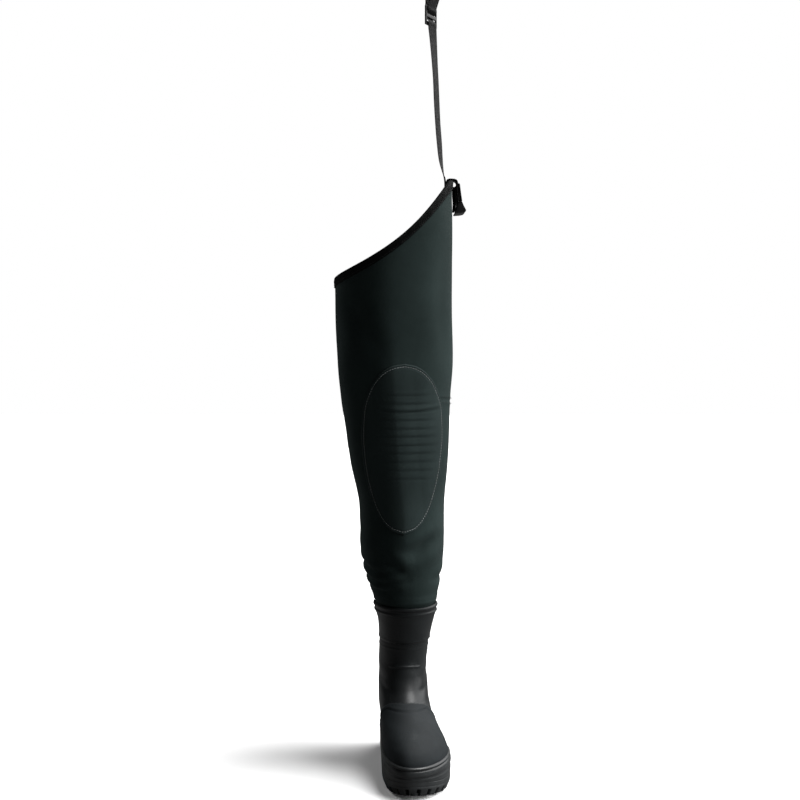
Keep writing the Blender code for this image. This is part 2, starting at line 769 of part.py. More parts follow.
def ribbon(name, spots, finish, width=WEBBING_WIDTH, wall=WEBBING_WALL):
    """Flat band along a path; each spot is a centre and a twist about the upright axis in degrees."""
    rings = []
    last = len(spots) - 1
    for i, (centre, twist) in enumerate(spots):
        ahead = (spots[min(i + 1, last)][0] - spots[max(i - 1, 0)][0]).normalized()
        across = Vector((math.sin(math.radians(twist)), math.cos(math.radians(twist)), 0))
        across = (across - ahead * across.dot(ahead)).normalized()
        out = across.cross(ahead).normalized()
        a = across * width / 2
        b = out * wall / 2
        rings.append([centre + a + b, centre - a + b, centre - a - b, centre + a - b])
    return loft(name, rings, finish)


WEBBING_COLOUR = (0.010, 0.010, 0.011)


def wall_bow():
    """How far the wall curves inwards across the webbing's width at the peak."""
    radius = (THIGH_DEPTH / 2) ** 2 / (THIGH_WIDTH / 2)
    return 1.25 * (WEBBING_WIDTH / 2) ** 2 / (2 * radius)


def strap_layers():
    """Sideways places of what lies against the wall at the peak: leg, binding, tab, strap."""
    peak = peak_place()
    inside = peak.x - NEOPRENE_WALL - CURVED_GAP - BINDING_WALL - wall_bow()
    outside = peak.x + CURVED_GAP + BINDING_WALL
    tab = inside - CURVED_GAP - WEBBING_WALL / 2
    strap = tab - WEBBING_WALL - CURVED_GAP
    return peak.y, outside, tab, strap


# Hanger strap above the collar: height above the peak, sideways place from the peak's inner layer, twist
StrapRow = namedtuple("StrapRow", "rise side twist")
STRAP = (
    StrapRow(-0.050, 0.0000, 0),
    StrapRow(-0.015, 0.0000, 0),
    StrapRow(0.002, -0.0008, 3),
    StrapRow(0.012, -0.0034, 10),
    StrapRow(0.033, -0.0073, 20),
    StrapRow(0.065, -0.0100, 25),
    StrapRow(0.098, -0.0125, 25),
    StrapRow(0.130, -0.0141, 26),
    StrapRow(0.162, -0.0154, 26),
    StrapRow(0.195, -0.0174, 28),
    StrapRow(0.229, -0.0196, 33),
)
SLIDER_TWIST = 37
SLIDER_INWARD = 0.0235


def make_hanger_strap():
    """Webbing from inside the collar, woven through the slider, round the belt loop and back to the slider."""
    y, _, _, strap_x = strap_layers()
    spots = [(Vector((strap_x + row.side, y, PEAK_HEIGHT + row.rise)), row.twist) for row in STRAP]
    slider_x = strap_x - SLIDER_INWARD
    out = slider_axis()
    weave = SLIDER_WALL / 2 + WEBBING_WALL / 2 + 2 * GAP
    window = (SLIDER_HEIGHT - 3 * SLIDER_BAR) / 2
    bottom = SLIDER_BOTTOM

    def spot(offset, height):
        lean = LOOP_LEAN * max(0.0, height - bottom - SLIDER_HEIGHT)
        return Vector((slider_x + lean, y, height)) + out * offset, SLIDER_TWIST

    bars = [bottom + k * (SLIDER_BAR + window) for k in range(3)]
    spots.append(spot(weave, bars[0] - END_LENGTH))
    spots.append(spot(weave, bars[0] + SLIDER_BAR))
    spots.append(spot(-weave, bars[1]))
    spots.append(spot(-weave, bars[1] + SLIDER_BAR))
    spots.append(spot(weave, bars[2]))
    spots.append(spot(weave, bars[2] + SLIDER_BAR))
    loop_bottom = bottom + SLIDER_HEIGHT
    radius = LOOP_SPREAD / 2
    loop_middle = weave - radius
    spots.append(spot(loop_middle + radius, loop_bottom + 0.30 * LOOP_HEIGHT))
    top = loop_bottom + LOOP_HEIGHT - radius
    for k in range(7):
        turn = math.pi * k / 6
        spots.append(spot(loop_middle + radius * math.cos(turn), top + radius * math.sin(turn)))
    spots.append(spot(loop_middle - radius, loop_bottom + 0.35 * LOOP_HEIGHT))
    spots.append(spot(-weave - SLOT_CLEARANCE, loop_bottom + 2 * END_LENGTH))
    spots.append(spot(-weave, loop_bottom - END_LENGTH))
    spots.append(spot(-weave, bars[2] - 0.2 * window))
    return ribbon("hanger_strap", spots, material("strap_webbing", WEBBING_COLOUR, 0.75))


def slider_axis():
    """Direction through the slider's windows."""
    turn = math.radians(SLIDER_TWIST)
    return Vector((math.cos(turn), -math.sin(turn), 0))


def make_strap_slider():
    """Flat frame of three bars with two windows."""
    y, _, _, strap_x = strap_layers()
    window = (SLIDER_HEIGHT - 3 * SLIDER_BAR) / 2
    out = slider_axis()
    across = Vector((math.sin(math.radians(SLIDER_TWIST)), math.cos(math.radians(SLIDER_TWIST)), 0))
    middle = Vector((strap_x - SLIDER_INWARD, y, SLIDER_BOTTOM + SLIDER_HEIGHT / 2))
    plastic = material("slider_plastic", (0.012, 0.012, 0.013), 0.35)
    bm = bmesh.new()
    add_block(bm, middle, out * SLIDER_WALL / 2, across * SLIDER_WIDTH / 2, Vector((0, 0, SLIDER_HEIGHT / 2)))
    piece = finish_mesh(bm, "strap_slider", plastic)
    bm = bmesh.new()
    for side in (-1, 1):
        centre = middle + Vector((0, 0, side * (SLIDER_BAR + window) / 2))
        add_block(bm, centre, out * SLIDER_WALL, across * (WEBBING_WIDTH / 2 + SLOT_CLEARANCE),
                  Vector((0, 0, window / 2)))
    cut(piece, finish_mesh(bm, "window_cutter", plastic), "DIFFERENCE")
    return piece


# Tab: whether a row is measured from the inside or the outside of the wall, its way outwards and its drop
TabRow = namedtuple("TabRow", "inside out drop")
TAB = (
    TabRow(True, 0.0000, 0.0414),
    TabRow(True, 0.0000, 0.0044),
    TabRow(True, 0.0016, 0.0000),
    TabRow(False, -0.0030, -0.0006),
    TabRow(False, 0.0030, 0.0000),
    TabRow(False, 0.0066, 0.0022),
    TabRow(False, 0.0080, 0.0072),
)


def make_buckle_tab():
    """Webbing over the peak, sewn inside the collar and ending on the buckle's top bar."""
    y, outside, tab_x, _ = strap_layers()
    over = PEAK_HEIGHT + WEBBING_WALL / 2 + 2 * GAP
    spots = []
    for row in TAB:
        start = tab_x if row.inside else outside
        spots.append(Vector((start + row.out, y, over - row.drop)))
    return ribbon("buckle_tab", [(spot, 0) for spot in spots], material("tab_webbing", WEBBING_COLOUR, 0.75))


# Buckle outlines seen from the front: way outwards from the binding and drop below the peak
BuckleRow = namedtuple("BuckleRow", "out drop")
BODY = (
    BuckleRow(0.0062, 0.0085),
    BuckleRow(0.0070, 0.0064),
    BuckleRow(0.0112, 0.0060),
    BuckleRow(0.0122, 0.0080),
    BuckleRow(0.0142, 0.0240),
    BuckleRow(0.0158, 0.0345),
    BuckleRow(0.0086, 0.0370),
    BuckleRow(0.0082, 0.0300),
    BuckleRow(0.0072, 0.0180),
)
PLUG = (
    BuckleRow(0.0087, 0.0376),
    BuckleRow(0.0159, 0.0351),
    BuckleRow(0.0182, 0.0410),
    BuckleRow(0.0222, 0.0484),
    BuckleRow(0.0216, 0.0506),
    BuckleRow(0.0190, 0.0522),
    BuckleRow(0.0140, 0.0532),
    BuckleRow(0.0050, 0.0538),
    BuckleRow(0.0042, 0.0524),
    BuckleRow(0.0060, 0.0500),
    BuckleRow(0.0078, 0.0440),
)
RETURN = (
    BuckleRow(0.0000, 0.0110),
    BuckleRow(0.0000, 0.0220),
    BuckleRow(0.0008, 0.0330),
    BuckleRow(0.0006, 0.0420),
    BuckleRow(0.0000, 0.0485),
)


def buckle_profile(rows):
    _, outside, _, _ = strap_layers()
    return [(outside + row.out - BUCKLE_TUCK, PEAK_HEIGHT - row.drop) for row in rows]


def prism_across(name, rows, width, finish):
    """Buckle piece: an outline seen from the front, pushed along the wearer's fore and aft."""
    y, _, _, _ = strap_layers()
    return prism(name, buckle_profile(rows), 1, y - width / 2, y + width / 2, finish)


def make_buckle_body():
    """Socket half of the side-release buckle."""
    plastic = material("buckle_plastic", (0.011, 0.011, 0.012), 0.3)
    body = prism_across("buckle_body", BODY, BUCKLE_WIDTH, plastic)
    round_edges(body, BODY_ROUNDING)
    return body


def make_buckle_plug():
    """Plug half below the socket, flared into its lift tab."""
    plastic = material("plug_plastic", (0.012, 0.012, 0.013), 0.32)
    plug = prism_across("buckle_plug", PLUG, BUCKLE_WIDTH - PLUG_NARROWER, plastic)
    round_edges(plug, PLUG_ROUNDING)
    return plug


def make_buckle_return():
    """Doubled webbing from the plug up to the leg's outer face."""
    y, outside, _, _ = strap_layers()
    wall = 2.4 * WEBBING_WALL
    near = outside + CURVED_GAP + wall / 2
    spots = [Vector((near + row.out, y, PEAK_HEIGHT - row.drop)) for row in RETURN]
    return ribbon("buckle_return", [(spot, 0) for spot in spots],
                  material("return_webbing", WEBBING_COLOUR, 0.75), wall=wall)


def main():
    for piece in list(bpy.data.objects):
        bpy.data.objects.remove(piece, do_unlink=True)
    boot = boot_rings()
    make_outsole(boot)
    make_foxing(boot)
    make_boot_upper(boot)
    make_vamp_cover(boot)
    make_heel_counter(boot)
    make_insole(boot)
    leg = leg_rings()
    make_neoprene_leg(leg)
    make_knee_pad(leg)
    make_collar_binding(leg)
    make_hanger_strap()
    make_strap_slider()
    make_buckle_tab()
    make_buckle_body()
    make_buckle_plug()
    make_buckle_return()


main()
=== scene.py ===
"""Dresses the left hip wader: its rubber boot, neoprene leg, pad, tape, webbing, slider and buckle."""

import math
from collections import namedtuple
from functools import lru_cache

import bmesh
import bpy
import numpy as np
from mathutils import Matrix, Vector


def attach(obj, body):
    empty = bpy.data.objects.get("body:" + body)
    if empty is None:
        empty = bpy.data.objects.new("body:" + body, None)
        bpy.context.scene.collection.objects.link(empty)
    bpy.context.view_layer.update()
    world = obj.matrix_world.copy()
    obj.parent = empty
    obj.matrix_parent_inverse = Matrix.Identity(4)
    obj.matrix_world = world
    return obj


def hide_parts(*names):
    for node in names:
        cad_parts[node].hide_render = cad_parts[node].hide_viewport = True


bl_info = {
    "name": "Hip wader",
    "version": (1, 0, 0),
    "blender": (4, 5, 0),
    "location": "3D View > Sidebar > Wader",
    "description": "Models and finishes a neoprene hip wader on its rubber boot",
    "category": "Object",
}

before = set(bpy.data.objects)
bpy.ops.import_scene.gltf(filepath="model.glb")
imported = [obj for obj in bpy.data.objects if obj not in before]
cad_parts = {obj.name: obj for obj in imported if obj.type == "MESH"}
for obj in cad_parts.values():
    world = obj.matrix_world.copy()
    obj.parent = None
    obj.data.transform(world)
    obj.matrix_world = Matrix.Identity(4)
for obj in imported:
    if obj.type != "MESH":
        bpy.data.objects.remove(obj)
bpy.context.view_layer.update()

# Sizes, most of them shared with the solids. OVERLAY_WALL and PAD_WALL are 0.4 mm more here than there, and
# LUG_NOTCH_DEPTH is 0.7 mm less
CURVED_GAP = 0.0004
RUBBER_WALL = 0.0025
NEOPRENE_WALL = 0.004
OVERLAY_WALL = 0.0018
BOOT_LENGTH = 0.283
HEEL_REACH = 0.038
TOE_REACH = BOOT_LENGTH - HEEL_REACH
BALL_WIDTH = 0.100
HEEL_WIDTH = 0.072
INSTEP_HEIGHT = 0.107
BOOT_HEIGHT = 0.245
ANKLE_WIDTH = 0.075
CUFF_WIDTH = 0.0996
CUFF_REACH = 0.096
SOLE_THICKNESS = 0.019
HEEL_LIFT = 0.007
TOE_SPRING = 0.010
ARCH_RISE = 0.008
SOLE_MARGIN = 0.0042
SOLE_TAPER = 0.0035
FOXING_TOP = 0.048
LUG_PITCH = 0.018
LUG_NOTCH_WIDTH = 0.0052
LUG_NOTCH_HEIGHT = 0.0085
LUG_NOTCH_DEPTH = 0.0068
HEEL_BREAST = -0.96 * HEEL_REACH
BALL_EDGE = HEEL_REACH - 0.44 * BOOT_LENGTH
THIGH_WIDTH = 0.188
THIGH_DEPTH = 0.221
LEG_BASE = 0.258
CROTCH_HEIGHT = 0.765
PEAK_HEIGHT = 0.9215
RIM_BLEND_HEIGHT = 0.600
RIM_STRAIGHT = 0.42
RIM_POWER = 2.5
CREASE_HEIGHT = 0.0040
BINDING_DEPTH = 0.0135
BINDING_WALL = 0.0012
PAD_BOTTOM = 0.361
PAD_HEIGHT = 0.262
PAD_WIDTH = 0.126
PAD_CENTRE = -0.0045
PAD_WALL = 0.0030
WEBBING_WIDTH = 0.025
WEBBING_WALL = 0.0016
SLIDER_HEIGHT = 0.031
SLIDER_WIDTH = 0.033
SLIDER_WALL = 0.0030
SLIDER_BAR = 0.0060
SLIDER_BOTTOM = 1.172
SLIDER_TWIST = 37
SLIDER_SIDE = -0.0235
LOOP_HEIGHT = 0.069
LOOP_SPREAD = 0.0125
LOOP_LEAN = 0.30
BUCKLE_WIDTH = 0.033
BUCKLE_TUCK = 0.0014
SECTION_SQUARENESS = 0.94
CREASE_SPREAD = 0.34
HEEL_CAP = 0.12
TOE_CAP_START = 0.66

# Sizes that only the looks use
LEG_BOTTOM = 0.212
FREE_HEIGHT = 0.2521
TUCK_GAP = 0.0009
RIM_DROP = 0.0020
SEAM_RADIUS = 0.085
BINDING_SEAM = 0.0028
WEBBING_GAP = 0.0006
PAD_MIDDLE = (PAD_CENTRE, PAD_BOTTOM + 0.53 * PAD_HEIGHT)

# Last, foot, shaft, leg and pad in the same rows as the solids
PlanRow = namedtuple("PlanRow", "along inner outer")
PLAN = (
    PlanRow(0.00, 0.460 * HEEL_WIDTH, 0.500 * HEEL_WIDTH),
    PlanRow(0.14, 0.460 * HEEL_WIDTH, 0.500 * HEEL_WIDTH),
    PlanRow(0.42, 0.345 * BALL_WIDTH, 0.400 * BALL_WIDTH),
    PlanRow(0.66, 0.365 * BALL_WIDTH, 0.610 * BALL_WIDTH),
    PlanRow(0.80, 0.370 * BALL_WIDTH, 0.600 * BALL_WIDTH),
    PlanRow(1.00, 0.360 * BALL_WIDTH, 0.560 * BALL_WIDTH),
)
FootRow = namedtuple("FootRow", "height back front plan oval ankle lean")
FOOT = (
    FootRow(0.19, 0.890, 0.974, 0.955, 0.00, 1.10, -0.005),
    FootRow(0.33, 0.905, 0.982, 0.970, 0.00, 1.10, -0.005),
    FootRow(0.45, 0.920, 0.970, 0.965, 0.06, 1.14, -0.015),
    FootRow(0.56, 0.935, 0.935, 0.930, 0.18, 1.18, -0.030),
    FootRow(0.65, 0.940, 0.875, 0.870, 0.34, 1.18, -0.035),
    FootRow(0.735, 0.938, 0.785, 0.800, 0.50, 1.17, -0.035),
    FootRow(0.81, 0.930, 0.690, 0.750, 0.66, 1.14, -0.030),
    FootRow(0.90, 0.915, 0.603, 0.710, 0.82, 1.10, -0.022),
    FootRow(1.00, 0.900, 0.525, 0.680, 0.95, 1.05, -0.014),
)
ShaftRow = namedtuple("ShaftRow", "height back front flare lean")
SHAFT = (
    ShaftRow(0.11, 0.890, 1.135, 0.08, -0.010),
    ShaftRow(0.24, 0.890, 1.000, 0.00, -0.012),
    ShaftRow(0.42, 0.925, 0.910, 0.07, -0.002),
    ShaftRow(0.575, 0.965, 0.895, 0.13, 0.013),
    ShaftRow(0.60, 0.985, 0.905, 0.22, 0.019),
    ShaftRow(0.72, 1.010, 0.918, 0.40, 0.032),
    ShaftRow(0.855, 1.055, 0.955, 0.70, 0.040),
    ShaftRow(0.92, 1.085, 0.980, 0.94, 0.040),
    ShaftRow(1.00, 1.105, 1.000, 1.00, 0.037),
)
LegRow = namedtuple("LegRow", "height width centre front back crease")
LEG = (
    LegRow(0.00, 0.536, 0.017, 0.440, 0.204, 0.00),
    LegRow(0.05, 0.608, 0.004, 0.460, 0.220, -0.05),
    LegRow(0.16, 0.702, -0.005, 0.471, 0.249, -0.06),
    LegRow(0.28, 0.729, -0.011, 0.467, 0.281, -0.06),
    LegRow(0.39, 0.806, -0.027, 0.489, 0.281, -0.06),
    LegRow(0.50, 0.872, -0.048, 0.516, 0.281, -0.04),
    LegRow(0.62, 0.941, -0.064, 0.534, 0.326, -0.08),
    LegRow(0.73, 0.981, -0.069, 0.552, 0.380, -0.12),
    LegRow(0.95, 1.000, -0.080, 0.557, 0.443, -0.12),
    LegRow(1.30, 1.000, -0.080, 0.557, 0.443, -0.12),
)
PadRow = namedtuple("PadRow", "height half")
PAD = (
    PadRow(0.000, 0.000),
    PadRow(0.025, 0.140),
    PadRow(0.100, 0.275),
    PadRow(0.220, 0.375),
    PadRow(0.400, 0.465),
    PadRow(0.580, 0.500),
    PadRow(0.740, 0.478),
    PadRow(0.870, 0.390),
    PadRow(0.950, 0.265),
    PadRow(0.988, 0.135),
    PadRow(1.000, 0.000),
)
StrapRow = namedtuple("StrapRow", "rise side twist")
STRAP = (
    StrapRow(-0.050, 0.0000, 0),
    StrapRow(-0.015, 0.0000, 0),
    StrapRow(0.002, -0.0008, 3),
    StrapRow(0.012, -0.0034, 10),
    StrapRow(0.033, -0.0073, 20),
    StrapRow(0.065, -0.0100, 25),
    StrapRow(0.098, -0.0125, 25),
    StrapRow(0.130, -0.0141, 26),
    StrapRow(0.162, -0.0154, 26),
    StrapRow(0.195, -0.0174, 28),
    StrapRow(0.229, -0.0196, 33),
)

# Folds: places round the section in degrees from the front, outwards positive, with their heights
Fold = namedtuple("Fold", "depth width path")
LEG_FOLDS = (
    Fold(0.0042, 0.0095, ((46, 0.355), (26, 0.341), (6, 0.327))),
    Fold(0.0036, 0.0085, ((-30, 0.320), (-13, 0.308), (4, 0.298))),
    Fold(-0.0016, 0.0120, ((50, 0.332), (34, 0.322), (14, 0.308))),
    Fold(0.0030, 0.0045, ((-135, 0.312), (-105, 0.316), (-80, 0.309), (-55, 0.301), (-30, 0.299),
                          (-8, 0.304))),
    Fold(0.0026, 0.0042, ((-120, 0.293), (-95, 0.294), (-70, 0.288), (-45, 0.283), (-20, 0.284), (2, 0.290))),
    Fold(0.0020, 0.0038, ((-110, 0.278), (-85, 0.277), (-60, 0.272), (-35, 0.270), (-12, 0.273))),
    Fold(0.0016, 0.0070, ((38, 0.356), (24, 0.345), (8, 0.335), (-6, 0.331))),
    Fold(0.0020, 0.0065, ((120, 0.300), (95, 0.292), (70, 0.287), (45, 0.289))),
    Fold(0.0016, 0.0060, ((140, 0.276), (110, 0.271), (80, 0.269))),
    Fold(0.0034, 0.0085, ((-178, 0.516), (-160, 0.512), (-140, 0.506), (-118, 0.497), (-102, 0.490))),
    Fold(0.0034, 0.0080, ((-182, 0.480), (-160, 0.473), (-138, 0.463), (-118, 0.456), (-102, 0.454))),
    Fold(0.0028, 0.0080, ((-180, 0.440), (-155, 0.427), (-130, 0.417), (-108, 0.413))),
    Fold(0.0034, 0.0090, ((178, 0.515), (155, 0.508), (130, 0.497), (108, 0.492))),
    Fold(0.0032, 0.0085, ((180, 0.478), (155, 0.468), (128, 0.455), (106, 0.452))),
    Fold(0.0026, 0.0080, ((176, 0.438), (150, 0.424), (126, 0.412))),
    Fold(0.0022, 0.0110, ((-170, 0.560), (-135, 0.556), (-105, 0.548))),
    Fold(0.0020, 0.0100, ((175, 0.355), (145, 0.342), (112, 0.338))),
    Fold(0.0020, 0.0100, ((-178, 0.352), (-150, 0.345), (-118, 0.350), (-92, 0.362))),
    Fold(0.0018, 0.0150, ((-60, 0.735), (-42, 0.700), (-25, 0.660), (-12, 0.636))),
    Fold(0.0015, 0.0160, ((55, 0.800), (48, 0.745), (45, 0.690), (50, 0.640))),
    Fold(0.0018, 0.0170, ((150, 0.760), (142, 0.700), (138, 0.640), (144, 0.590))),
    Fold(0.0018, 0.0160, ((-140, 0.740), (-146, 0.690), (-150, 0.640))),
)
BOOT_FOLDS = (
    Fold(0.0010, 0.0055, ((-74, 0.126), (-52, 0.120), (-30, 0.117))),
    Fold(0.0010, 0.0055, ((30, 0.118), (50, 0.121), (72, 0.128))),
    Fold(0.0009, 0.0060, ((-95, 0.139), (-65, 0.134), (-40, 0.131))),
    Fold(0.0009, 0.0060, ((92, 0.142), (66, 0.136), (42, 0.133))),
    Fold(0.0008, 0.0075, ((165, 0.128), (140, 0.122), (112, 0.126))),
    Fold(0.0008, 0.0075, ((-165, 0.130), (-138, 0.124), (-112, 0.129))),
    Fold(0.0007, 0.0080, ((130, 0.160), (100, 0.154), (72, 0.157))),
)


def mix(a, b, share):
    return a + (b - a) * share


def bell(distance, width):
    return np.exp(-(np.asarray(distance) / width) ** 2)


def step_up(value, start, end):
    """Smooth step from 0 to 1 between two values, on numbers or arrays."""
    share = np.clip((np.asarray(value, dtype=float) - start) / (end - start), 0.0, 1.0)
    return share * share * (3 - 2 * share)


@lru_cache(maxsize=None)
def smooth_table(keys, values, at):
    """Value at a place on a smooth curve through a table's rows, without overshoot."""
    if at <= keys[0]:
        return values[0]
    if at >= keys[-1]:
        return values[-1]
    last = len(keys) - 1
    step = next(i for i in range(last) if at <= keys[i + 1])
    steep = [(values[i + 1] - values[i]) / (keys[i + 1] - keys[i]) for i in range(last)]

    def slope(i):
        if i == 0 or i == last:
            return steep[min(i, last - 1)]
        before, after = steep[i - 1], steep[i]
        return 0.0 if before * after <= 0 else 2 * before * after / (before + after)

    span = keys[step + 1] - keys[step]
    t = (at - keys[step]) / span
    start = (1 + 2 * t) * (1 - t) ** 2 * values[step] + t * (1 - t) ** 2 * span * slope(step)
    return start + t * t * (3 - 2 * t) * values[step + 1] + t * t * (t - 1) * span * slope(step + 1)


def table_columns(rows):
    """A table's columns by name, as plain tuples."""
    return {name: tuple(getattr(row, name) for row in rows) for name in rows[0]._fields}


PLAN_COLUMNS = table_columns(PLAN)
LEG_COLUMNS = table_columns(LEG)
PAD_COLUMNS = table_columns(PAD)


def signed_power(value, power):
    return math.copysign(abs(value) ** power, value)


def turn_angles(count):
    """Angles round a section: 0 at the front, a quarter turn at the outer side."""
    return [2 * math.pi * i / count for i in range(count)]


@lru_cache(maxsize=None)
def plan_reach(along, outer):
    reach = smooth_table(PLAN_COLUMNS["along"], PLAN_COLUMNS["outer" if outer else "inner"], along)
    if along < HEEL_CAP:
        reach *= math.sqrt(max(0.0, 1 - (1 - along / HEEL_CAP) ** 2))
    if along > TOE_CAP_START:
        power = 2.0 if outer else 2.3
        reach *= max(0.0, 1 - ((along - TOE_CAP_START) / (1 - TOE_CAP_START)) ** power) ** (1 / power)
    return reach


BootRow = namedtuple("BootRow", "height back front plan oval width lean")


def boot_table():
    """The foot's and the shaft's rows as one table in metres."""
    rows = []
    for row in FOOT:
        rows.append(BootRow(row.height * INSTEP_HEIGHT, row.back * HEEL_REACH, row.front * TOE_REACH,
                            row.plan, row.oval, row.ankle * ANKLE_WIDTH, row.lean * CUFF_WIDTH))
    for row in SHAFT:
        height = mix(INSTEP_HEIGHT, BOOT_HEIGHT, row.height)
        width = mix(ANKLE_WIDTH, CUFF_WIDTH, row.flare)
        rows.append(BootRow(height, row.back * HEEL_REACH, row.front * CUFF_REACH, FOOT[-1].plan, 1.0,
                            width, row.lean * CUFF_WIDTH))
    return rows


BOOT_COLUMNS = table_columns(boot_table())
BASE_HEIGHT = BOOT_COLUMNS["height"][0]


@lru_cache(maxsize=None)
def boot_section(height):
    return [smooth_table(BOOT_COLUMNS["height"], BOOT_COLUMNS[name], height)
            for name in ("back", "front", "plan", "oval", "width", "lean")]


def boot_point(angle, height):
    """Point on the boot's outer surface."""
    back, front, plan, oval, width, lean = boot_section(height)
    along = (1 + math.cos(angle)) / 2
    side = math.sin(angle)
    foot = math.copysign(plan_reach(along, side > 0) * plan, side) if abs(side) > 1e-9 else 0.0
    return mix(foot, lean * abs(side) + width / 2 * side, oval), back - along * (back + front), height


def ground_height(y):
    """Underside of the outsole: flat, then up to the toe spring."""
    share = (HEEL_REACH - y) / BOOT_LENGTH
    return TOE_SPRING * min(max(0.0, share - 0.76) / 0.24, 1.1) ** 1.7


def bed_height(y):
    """Top of the outsole under the foot."""
    share = (HEEL_REACH - y) / BOOT_LENGTH
    heel = HEEL_LIFT * smooth_table((0.0, 0.25, 0.55, 1.0), (1.0, 1.0, 0.0, 0.0), share)
    return SOLE_THICKNESS + heel + ground_height(y)


@lru_cache(maxsize=None)
def leg_section(height):
    share = (height - LEG_BASE) / (CROTCH_HEIGHT - LEG_BASE)
    width, centre, front, back, crease = (
        smooth_table(LEG_COLUMNS["height"], LEG_COLUMNS[name], share)
        for name in ("width", "centre", "front", "back", "crease")
    )
    return width * THIGH_WIDTH, centre * THIGH_WIDTH, front * THIGH_DEPTH, back * THIGH_DEPTH, crease


def leg_point(angle, height):
    """Point on the neoprene's outer surface, with the soft crease down its front."""
    width, centre, front, back, crease = leg_section(height)
    across = signed_power(math.sin(angle), SECTION_SQUARENESS)
    along = signed_power(math.cos(angle), SECTION_SQUARENESS)
    ridge = math.exp(-((across - 2 * crease) / CREASE_SPREAD) ** 2) if math.cos(angle) > 0 else 0.0
    rise = min(1.0, max(0.0, (height - LEG_BASE) / 0.05))
    y = (back - front) / 2 - along * (front + back) / 2 - CREASE_HEIGHT * rise * ridge * max(0.0, along)
    return centre + width / 2 * across, y, height


def rim_height(angle):
    """Height of the collar's finished edge, low at the crotch and high at the outer peak."""
    across = (1 + signed_power(math.sin(angle), SECTION_SQUARENESS)) / 2
    return mix(CROTCH_HEIGHT, PEAK_HEIGHT, RIM_STRAIGHT * across + (1 - RIM_STRAIGHT) * across ** RIM_POWER)


def round_tangent(rings):
    return np.roll(rings, -1, axis=1) - np.roll(rings, 1, axis=1)


def level_normals(rings):
    """Outward directions that stay level, at each point of closed rings."""
    way = np.cross(round_tangent(rings), (0.0, 0.0, 1.0))
    return way / np.maximum(np.linalg.norm(way, axis=2, keepdims=True), 1e-12)


def surface_normals(rings):
    """Outward directions of a surface through closed rings that go upwards."""
    way = np.cross(round_tangent(rings), np.gradient(rings, axis=0))
    return way / np.maximum(np.linalg.norm(way, axis=2, keepdims=True), 1e-12)


def fold_relief(folds, turn, rings, scale):
    """Soft troughs with a fuller ridge above and below, along each fold's path."""
    radius = 0.5 * (np.ptp(rings[:, :, 0], axis=1) + np.ptp(rings[:, :, 1], axis=1))[:, None] / 2
    height = rings[:, :, 2]
    relief = np.zeros(height.shape)
    for fold in folds:
        nearest = np.full(height.shape, 1e9)
        above = np.zeros(height.shape)
        along = np.zeros(height.shape)
        count = len(fold.path) - 1
        for k in range(count):
            (a0, z0), (a1, z1) = fold.path[k], fold.path[k + 1]
            u = np.radians((np.degrees(turn) - a0 + 180) % 360 - 180) * radius
            v = height - z0
            du, dv = np.radians(a1 - a0) * radius, z1 - z0
            share = np.clip((u * du + v * dv) / (du * du + dv * dv), 0.0, 1.0)
            gap_u, gap_v = u - du * share, v - dv * share
            distance = np.hypot(gap_u, gap_v)
            closer = distance < nearest
            nearest = np.where(closer, distance, nearest)
            above = np.where(closer, gap_v, above)
            along = np.where(closer, (k + share) / count, along)
        fade = np.sin(np.pi * np.clip(along * 0.92 + 0.04, 0, 1)) ** 0.6
        trough = -bell(nearest, fold.width)
        ridge = bell(nearest - 2.1 * fold.width, 1.25 * fold.width)
        relief += scale * fold.depth * fade * (trough + np.where(above > 0, 0.55, 0.30) * ridge)
    return relief


# Meshes

def grid_piece(name, points, finishes, wrap_rows=False, uv_size=(1.0, 1.0), values=None):
    """A grid laid over rings of points, closed round each ring, with its seams and poles merged."""
    rows, columns = points.shape[0] - (0 if wrap_rows else 1), points.shape[1]
    bm = bmesh.new()
    uv_layer = bm.loops.layers.uv.new("UVMap")
    bmesh.ops.create_grid(bm, x_segments=columns, y_segments=rows, size=0.5, calc_uvs=True)
    layer = bm.verts.layers.float.new("layer")
    for vert in bm.verts:
        i = round((vert.co.x + 0.5) * columns) % points.shape[1]
        j = round((vert.co.y + 0.5) * rows) % points.shape[0]
        vert.co = points[j, i]
        if values is not None:
            vert[layer] = values[j, i]
    for face in bm.faces:
        for loop in face.loops:
            loop[uv_layer].uv.x *= uv_size[0]
            loop[uv_layer].uv.y *= uv_size[1]
    bmesh.ops.remove_doubles(bm, verts=bm.verts, dist=1e-6)
    bmesh.ops.dissolve_degenerate(bm, edges=bm.edges, dist=1e-7)
    bmesh.ops.recalc_face_normals(bm, faces=bm.faces)
    return finish_piece(bm, name, finishes)


def finish_piece(bm, name, finishes, sharp=None):
    """An object made of a mesh, smooth, riding on the body, with edges sharp past an angle if given."""
    mesh = bpy.data.meshes.new(name)
    bm.to_mesh(mesh)
    bm.free()
    mesh.shade_smooth()
    if sharp:
        mesh.set_sharp_from_angle(angle=math.radians(sharp))
    for finish in finishes:
        mesh.materials.append(finish)
    piece = bpy.data.objects.new(name, mesh)
    bpy.context.scene.collection.objects.link(piece)
    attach(piece, "root")
    return piece


def boot_array(heights, columns):
    return np.array([[boot_point(angle, height) for angle in turn_angles(columns)] for height in heights])


# The boot

def cover_edge_distance(y, z):
    """How far a spot on the boot lies inside the vamp cover's edge, negative outside it."""
    back = np.interp(z / INSTEP_HEIGHT, (0, 0.50, 0.70, 0.88, 0.97, 1.01),
                     (-0.345, -0.345, -0.372, -0.425, -0.470, -0.520)) * TOE_REACH
    top = INSTEP_HEIGHT - z + 0.0025 * step_up(-y, 0.12, 0.20)
    return np.minimum((back - y) * 0.8, top)


